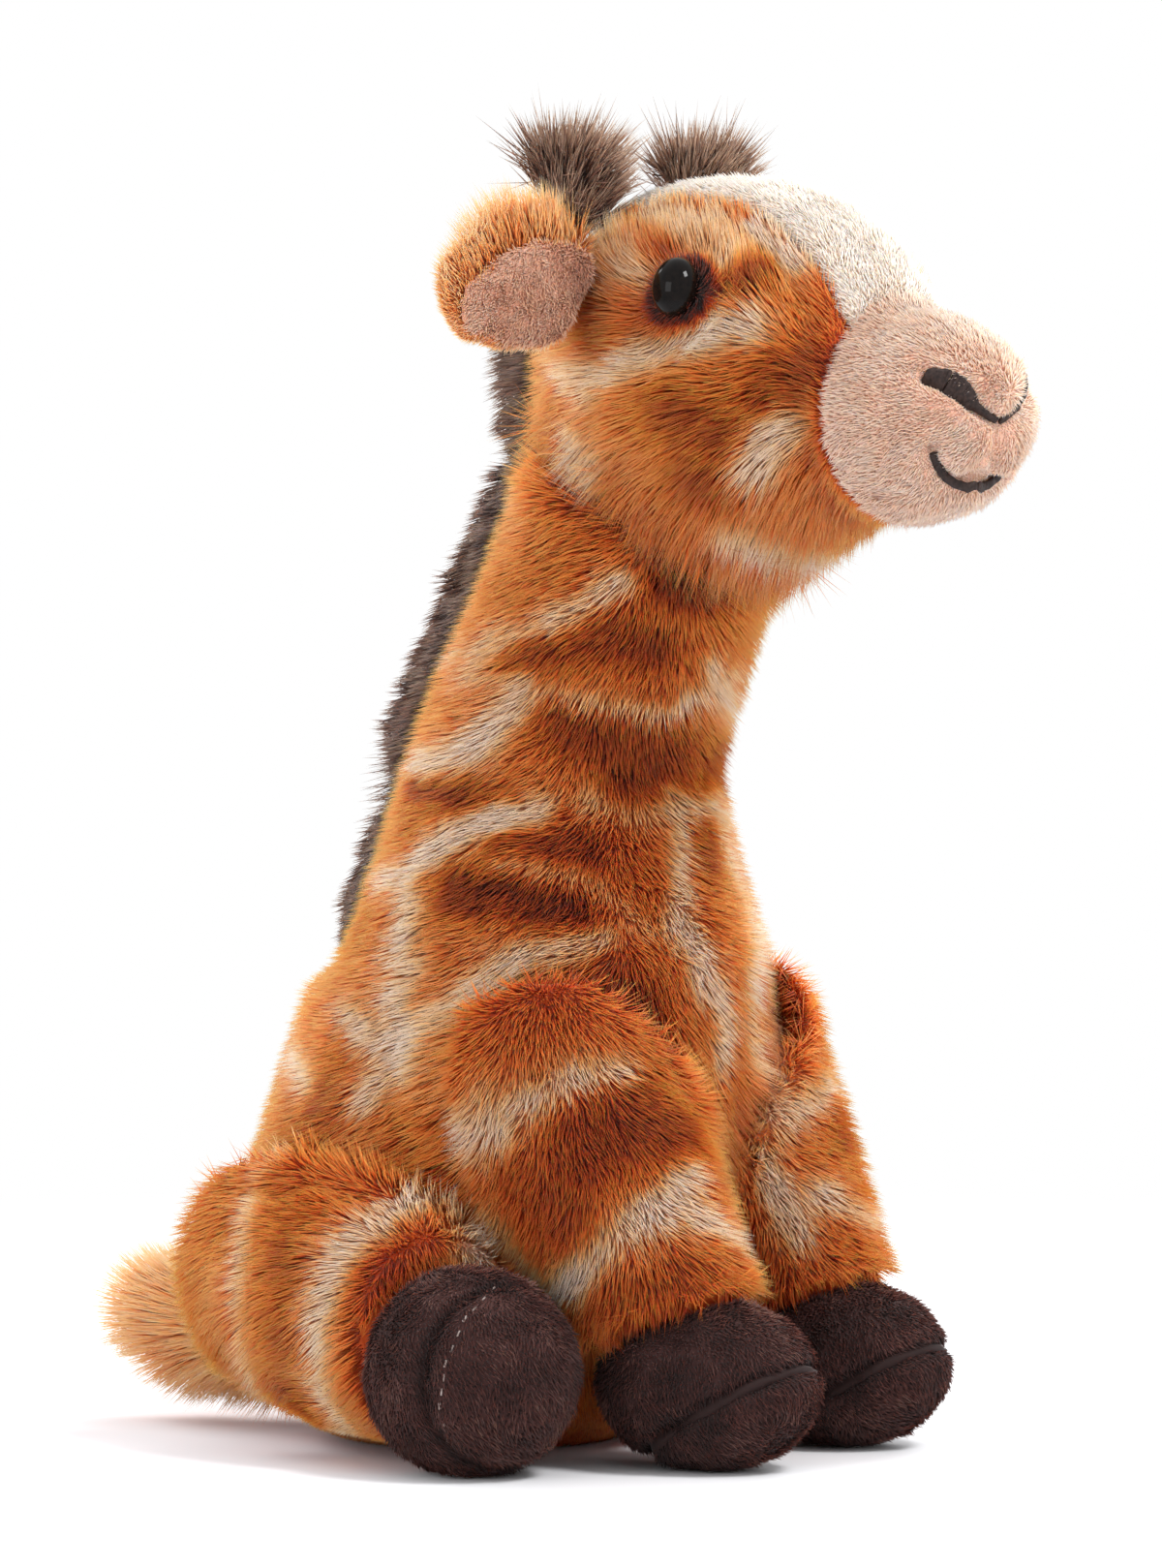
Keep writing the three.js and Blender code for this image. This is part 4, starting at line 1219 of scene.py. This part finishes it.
# Tail: a stubby stuffed roll of the same pile, left long and brushed out to the tip.
# It is sewn to the body low on the back seam.
TAIL_NODES = ("tail_skin", "tail_stuffing")
TAIL_STROKES = {"tail_top": (9, 0.6, (128, 1308), (165, 1300), (205, 1294))}
TAIL_SMOOTHING = 4
TAIL_LENGTH = 0.0115
TAIL_INSET = 0.0035
TAIL_INSET_HEIGHTS = (0, 0.008)
TAIL_ROOT = (0.003, 0.012)
TAIL_ROOT_LIFT = 0.6
TAIL_TIP = (0.5, 0.95)
TAIL_TIP_LIFT = 0.8
TAIL_FLOW = np.array([0, 1.0, 0.15])
TAIL_SWAY = 0.5
TAIL_SWAY_SIZE = 0.012
TAIL_PALER = 0.2
tail = closed_form("tail_cover", TAIL_NODES, LEG_VOXEL, TAIL_SMOOTHING)
tail_places, tail_normals = points_of(tail)
at_root = 1 - ease(reach_of(tail_places, "torso_skin", "seat_panel"), *TAIL_ROOT)
at_tip = ease(tail_normals[:, 1], *TAIL_TIP)
sink(tail, TAIL_INSET * ease(tail_places[:, 2], *TAIL_INSET_HEIGHTS) * (1 - at_root))
tail_places, tail_normals = points_of(tail)
tail_flow = TAIL_FLOW + TAIL_SWAY * sway(tail_places, TAIL_SWAY_SIZE, seed=71)
tail_lean = (1 - TAIL_ROOT_LIFT * at_root) * (1 - TAIL_TIP_LIFT * at_tip)
tail_comb = lay_flat(tail_flow, tail_normals) * tail_lean[:, None]
tail_tone = coat_tone(tail, [(tail, TAIL_STROKES, {})], tail_comb)
tail_tone = np.clip(tail_tone - TAIL_PALER, 0, 1)
dye(tail, coat, tail_tone)
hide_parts(*TAIL_NODES)
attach(tail, "tail")
tail_fur = grow_pile(
    "tail_fur", tail, tail_tone, tail_comb, np.full(len(tail_places), TAIL_LENGTH),
    np.ones(len(tail_places)), seed=72, **COAT_PILE,
)
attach(tail_fur, "tail")

# Ears: a leaf of printed pile lined with short mauve pile, sewn to the skull by its narrow end.
# The long pile of the back stands up over the top edge of the lining as a fringe.
EAR_SEEDS = {"right": 81, "left": 85}
EAR_VOXEL = 0.0010
EAR_SMOOTHING = 3
EAR_SHADE = 0.2
EAR_FRINGE = 0.0105
EAR_RISE = [0, 0.002, 0.0035]
EAR_TOP = (-0.1, 0.6)
EAR_LOW = (-0.05, 0.4)
EAR_OUTER = (0.55, 0.95)
EAR_INNER = (0.1, 0.45)
LINING_EDGE = (0.0002, 0.0006)
BACK_EDGE = (0.0006, 0.0012)
EAR_TIPWARD = (0.35, 0.4)
EAR_TOP_FLOW = [0, -0.1, 0.9]
EAR_LOW_FLOW = [0, 1.5, 0.2]
EAR_SWAY = 0.35
EAR_SWAY_SIZE = 0.01
EAR_TONE = 0.38
EAR_MOTTLE = 0.14
EAR_MOTTLE_SIZE = 0.008
EAR_TOP_PALER = 0.1
EAR_LOW_PALER = 0.08
EAR_BACK_PILE = 0.45
EAR_LOW_TRIM = 0.6
EAR_OUTER_TRIM = 0.6
EAR_PILE = dict(COAT_PILE, spacing=0.0004, lift=0.8)
LINING_LENGTH = 0.0022
LINING_TONE = 0.55
LINING_MOTTLE = 0.3
LINING_MOTTLE_SIZE = 0.006
LINING_ROOT_SHADE = 0.45
LINING_DROOP = -0.4
LINING_SWAY = 0.5
LINING_SWAY_SIZE = 0.008
lining_cloth = pile_cloth(
    "lining_pile_cloth",
    [(0, "C08870"), (0.5, "E8B094"), (1, "F6CEB8")],
    [(0, "CABEB8"), (0.4, "F2EEEC"), (1, "FFFFFF")],
    roughness=0.8, sheen=0.06, clear=0.5,
)
for side, seed in EAR_SEEDS.items():
    back_node = f"ear_back_{side}"
    lining_node = f"ear_lining_{side}"
    left_end, right_end = (corner[0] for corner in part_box(back_node))
    root, tip = (right_end, left_end) if side == "right" else (left_end, right_end)
    outwards = math.copysign(1, tip - root)
    back = closed_form(f"ear_{side}_back", (back_node,), EAR_VOXEL, EAR_SMOOTHING)
    places, normals = points_of(back)
    top = ease(normals[:, 2], *EAR_TOP)
    move_points(back, places + np.outer(top, EAR_RISE))
    places, normals = points_of(back)
    covered = 1 - ease(reach_of(places, lining_node), *LINING_EDGE)
    outer = ease((places[:, 0] - root) / (tip - root), *EAR_OUTER)
    low = ease(-normals[:, 2], *EAR_LOW)
    comb = np.outer(EAR_TIPWARD[0] + EAR_TIPWARD[1] * outer, [outwards, 0, 0])
    comb = comb + np.outer(top, EAR_TOP_FLOW) + np.outer(low, EAR_LOW_FLOW)
    comb = comb + EAR_SWAY * sway(places, EAR_SWAY_SIZE, seed)
    tone = EAR_TONE + EAR_MOTTLE * wander(places, EAR_MOTTLE_SIZE, seed)
    tone = np.clip(tone - EAR_TOP_PALER * top - EAR_LOW_PALER * low, 0, 1)
    length = EAR_FRINGE * rising(EAR_BACK_PILE, np.maximum(top, outer))
    length = length * (1 - EAR_LOW_TRIM * low) * (1 - EAR_OUTER_TRIM * outer)
    dye(back, coat, tone, EAR_SHADE)
    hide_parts(back_node)
    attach(back, f"ear_{side}")
    fringe = grow_pile(
        f"ear_{side}_fur", back, tone, lay_flat(comb, normals), length, 1 - covered,
        seed=seed, **EAR_PILE,
    )
    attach(fringe, f"ear_{side}")
    lining = closed_form(f"ear_{side}_lining", (lining_node,), EAR_VOXEL, EAR_SMOOTHING)
    places, normals = points_of(lining)
    hidden = 1 - ease(reach_of(places, back_node), *BACK_EDGE)
    # Painted shade: the lining darkens towards the ear's root, down in the cup.
    rooted = 1 - ease((places[:, 0] - root) / (tip - root), *EAR_INNER)
    tone = LINING_TONE + LINING_MOTTLE * wander(places, LINING_MOTTLE_SIZE, seed)
    tone = np.clip(tone - LINING_ROOT_SHADE * rooted, 0, 1)
    dye(lining, lining_cloth, tone)
    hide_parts(lining_node)
    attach(lining, f"ear_{side}")
    flow = np.tile([outwards, 0, LINING_DROOP], (len(places), 1))
    flow = flow + LINING_SWAY * sway(places, LINING_SWAY_SIZE, seed)
    nap = grow_pile(
        f"ear_{side}_lining_pile", lining, tone, lay_flat(flow, normals),
        np.full(len(places), LINING_LENGTH), 1 - hidden,
        seed=seed + 1, material=lining_cloth, **SHORT_PILE,
    )
    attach(nap, f"ear_{side}")

# Horns and mane: strips of long dark brown pile, rolled into two tufts on the crown and set in the
# back seam from the crown down between the shoulders.
STRIP_SMOOTHING = 4
STRIP_SHADE = 0.2
STRIP_ROOTED = (0.0, 0.6)
STRIP_MOTTLE = 0.3
STRIP_MOTTLE_SIZE = 0.006
dark_strand = strand("dark_strand", belly=0.45, bend=4)
dark_cloth = pile_cloth(
    "dark_pile_cloth",
    [(0, "3A241E"), (0.5, "66483D"), (1, "A68876")],
    [(0, "A0948E"), (0.5, "E6E2DE"), (1, "FFFFFF")],
    roughness=0.6, sheen=0.05, clear=0.3,
)
DARK_PILE = dict(
    strand=dark_strand, material=dark_cloth, width=0.00036, lift=0.6, lock_size=0.004,
    lock_pull=0.35, lock_sway=0.5, stray=0.25, tone_spread=0.25,
)


def strip_tone(places, base_tone, seed):
    mottle = STRIP_MOTTLE * wander(places, STRIP_MOTTLE_SIZE, seed)
    return np.clip(base_tone + mottle, 0, 1)


def dark_strip(name, cad_node, skin, root, depth, stretch, top, length, flow, seed, base_tone,
               **settings):
    """A strip of dark pile: its backing and its strands.

    The backing is moved by root where it faces the skin and sunk by depth elsewhere, drawn out
    along the seam by stretch, and trimmed at the height top.
    """
    backing = closed_form(name + "_backing", (cad_node,), EAR_VOXEL, STRIP_SMOOTHING)
    places, normals = points_of(backing)
    middle = middle_of(cad_node)
    rooted = ease(turned_to(places, normals, skin), *STRIP_ROOTED)
    moved = root * rooted - depth * (1 - rooted)
    places = places + normals * moved[:, None] - middle
    places = middle + places * np.array([1, stretch, stretch])
    places[:, 2] = np.minimum(places[:, 2], top)
    move_points(backing, places)
    places, normals = points_of(backing)
    tone = strip_tone(places, base_tone, seed)
    dye(backing, dark_cloth, tone, STRIP_SHADE)
    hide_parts(cad_node)
    strands = grow_pile(
        name + "_strands", backing, tone, flow(places, normals), np.full(len(places), length),
        np.ones(len(places)), seed=seed, **dict(DARK_PILE, **settings),
    )
    return backing, strands


HORN_SEEDS = {"right": 91, "left": 93}
HORN_TRIM = 0.2615
HORN_DEPTH = 0.0018
HORN_LENGTH = 0.0115
HORN_SPACING = 0.0004
HORN_TONE = 0.56
HORN_RISE = np.array([0.001, -0.003, 0.010])
HORN_SPREAD = 1.2
HORN_SWAY = 0.005
HORN_SWAY_SIZE = 0.004
WISP_LENGTH = 0.0165
WISP_SPACING = 0.0016
HORN_PILE = dict(
    DARK_PILE, stray=0.5, lift=0.2, width=0.0003, tone_spread=0.4, lock_pull=0.55,
)
WISP_PILE = dict(HORN_PILE, spacing=WISP_SPACING, stray=0.9, lift=0.1)
for side, seed in HORN_SEEDS.items():
    base = middle_of(f"horn_tuft_{side}")

    def fan(places, normals, base=base):
        """Upwards, and outwards from the middle of the tuft."""
        spread = (places - base) * np.array([1, 1, 0])
        wayward = HORN_SWAY * sway(places, HORN_SWAY_SIZE, seed=92)
        return unit(HORN_RISE + HORN_SPREAD * spread + wayward)

    backing, tuft = dark_strip(
        f"horn_{side}", f"horn_tuft_{side}", "head_skin", root=-HORN_DEPTH, depth=HORN_DEPTH,
        stretch=1.0, top=HORN_TRIM, length=HORN_LENGTH, flow=fan, spacing=HORN_SPACING,
        seed=seed, base_tone=HORN_TONE, **HORN_PILE,
    )
    places, normals = points_of(backing)
    wisps = grow_pile(
        f"horn_{side}_wisps", backing, np.full(len(places), HORN_TONE), fan(places, normals),
        np.full(len(places), WISP_LENGTH), np.ones(len(places)), seed=seed + 1, **WISP_PILE,
    )
    for piece in (backing, tuft, wisps):
        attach(piece, "head")

MANE_TONE = 0.2
MANE_FLOW = np.array([0, 0.9, -0.25])
MANE_SWAY = 0.35
MANE_SWAY_SIZE = 0.007
MANE_SPACING = 0.0004


def bristle(places, normals):
    """Out from the back and a little downwards."""
    return unit(MANE_FLOW + MANE_SWAY * sway(places, MANE_SWAY_SIZE, seed=95))


MANE_SETTINGS = dict(
    root=0.0055, stretch=1.1, top=1.0, flow=bristle, spacing=MANE_SPACING, base_tone=MANE_TONE,
)
# Each part of the mane is its seed, how deep its backing is sunk and how long its strands are.
MANE_PARTS = {
    "head": (96, 0.0016, 0.0080), "neck": (97, 0.0024, 0.0066), "torso": (98, 0.0032, 0.0056),
}
for part, (seed, depth, length) in MANE_PARTS.items():
    strip = f"mane_{part}"
    for piece in dark_strip(
        strip, strip, f"{part}_skin", depth=depth, length=length, seed=seed, **MANE_SETTINGS,
    ):
        if part == "head":
            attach(piece, "head")
        else:
            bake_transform(piece)

# The strip runs on over the fold between shoulders and neck, as strands sewn through the cover.
FOLD_LOW = 0.124
FOLD_HIGH = 0.148
FOLD_SIDES = (0.0025, 0.0045)
FOLD_FACING = 0.3
FOLD_LENGTH = 0.0155
in_strip = 1 - ease(np.abs(body_places[:, 0]), *FOLD_SIDES)
in_strip = in_strip * (body_normals[:, 1] > FOLD_FACING)
in_strip = in_strip * (body_height > FOLD_LOW) * (body_height < FOLD_HIGH)
fold_strands = grow_pile(
    "mane_fold_strands", body, strip_tone(body_places, MANE_TONE, seed=99),
    bristle(body_places, body_normals), np.full(len(body_places), FOLD_LENGTH), in_strip,
    seed=99, spacing=MANE_SPACING, **DARK_PILE,
)
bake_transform(fold_strands)

# Eyes: polished black plastic domes on shanks that pass through the cover and are locked by a
# washer inside the head.
EYE_RADIUS = 0.0062
EYE_ACROSS = 0.0049
EYE_HEIGHT = 0.0046
EYE_PROUD = 0.0008
EYE_SEGMENTS = 48
EYE_RINGS = 24
EYE_AIMS = {"right": Vector((-0.9, -0.3, 0.25)), "left": Vector((0.9, -0.3, 0.25))}
eye_plastic = speckled(
    "polished_black", "080606", "120D0B", scale=900.0, roughness=0.07, specular=0.12,
)
for side, aim in EYE_AIMS.items():
    aim = Vector(head_turn @ np.array(aim)).normalized()
    lens = bmesh.new()
    bmesh.ops.create_uvsphere(
        lens, u_segments=EYE_SEGMENTS, v_segments=EYE_RINGS, radius=EYE_RADIUS,
    )
    for vert in lens.verts:
        vert.co.x *= EYE_ACROSS / EYE_RADIUS
        vert.co.z *= EYE_HEIGHT / EYE_RADIUS
    mesh = bpy.data.meshes.new(f"eye_{side}_dome")
    lens.to_mesh(mesh)
    lens.free()
    turn = aim.to_track_quat("Z", "Y").to_matrix().to_4x4()
    turn.translation = Vector(middle_of(f"eye_{side}")) + aim * EYE_PROUD
    mesh.transform(turn)
    mesh.shade_smooth()
    mesh.materials.append(eye_plastic)
    dome = put(f"eye_{side}_dome", mesh)
    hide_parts(f"eye_{side}", f"eye_washer_{side}")
    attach(dome, "head")

# Floor and light: a white table under large soft lamps, with a white surround. Away from the toy
# the table fades into the surround.
FLOOR_HALF = 3.0
FADE_START = 0.18
FADE_END = 0.7
TABLE_WHITE = (0.86, 0.86, 0.88, 1)
SURROUND_WHITE = (1, 1, 1, 1)
SURROUND_LIGHT = 1.0
floor_mesh = bpy.data.meshes.new("floor")
floor_mesh.from_pydata(
    [(x * FLOOR_HALF, y * FLOOR_HALF, 0) for x, y in ((-1, -1), (1, -1), (1, 1), (-1, 1))],
    [], [(0, 1, 2, 3)],
)
floor = put("floor", floor_mesh)
paper = bpy.data.materials.new("white_table")
paper.use_nodes = True
tree = paper.node_tree
tree.nodes.clear()
rays = node(tree, "ShaderNodeLightPath").outputs
seen = rays["Is Camera Ray"]
for ray in ("Is Glossy Ray", "Is Transmission Ray"):
    seen = node(tree, "ShaderNodeMath", {0: seen, 1: rays[ray]}, operation="MAXIMUM").outputs[0]
where = node(tree, "ShaderNodeTexCoord").outputs["Object"]
away = node(tree, "ShaderNodeVectorMath", {0: where}, operation="LENGTH").outputs["Value"]
fade = node(tree, "ShaderNodeMapRange", {0: away, 1: FADE_START, 2: FADE_END},
            interpolation_type="SMOOTHSTEP")
fade = node(tree, "ShaderNodeMath", {0: fade.outputs[0], 1: seen}, operation="MULTIPLY")
matte = node(tree, "ShaderNodeBsdfDiffuse", {"Color": TABLE_WHITE})
lit = node(tree, "ShaderNodeEmission", {"Strength": SURROUND_LIGHT})
both = node(tree, "ShaderNodeMixShader", {
    0: fade.outputs[0], 1: matte.outputs[0], 2: lit.outputs[0],
})
node(tree, "ShaderNodeOutputMaterial", {"Surface": both.outputs[0]})
floor_mesh.materials.append(paper)

world = bpy.data.worlds.new("surround")
scene.world = world
world.use_nodes = True
tree = world.node_tree
tree.nodes.clear()
sky = node(tree, "ShaderNodeBackground", {"Color": SURROUND_WHITE, "Strength": SURROUND_LIGHT})
node(tree, "ShaderNodeOutputWorld", {"Surface": sky.outputs[0]})

# Each lamp is its place right of, above and in front of the toy as the camera sees it, its width
# and its power.
LAMPS = {
    "key": (0.9, 1.3, 0.8, 0.45, 20.0),
    "fill": (-1.1, 0.5, 1.3, 0.8, 6.0),
    "rim": (0.8, 0.9, -1.1, 0.8, 14.0),
    "back": (-1.0, 0.8, -1.0, 0.8, 14.0),
}
for name, (right, above, front, width, power) in LAMPS.items():
    lamp = put(name, bpy.data.lights.new(name, "AREA"))
    aim = view_right * right + view_up * above + view_back * front
    lamp.location = VIEW_TARGET + aim
    lamp.rotation_euler = aim.to_track_quat("Z", "Y").to_euler()
    lamp.data.size = width
    lamp.data.energy = power
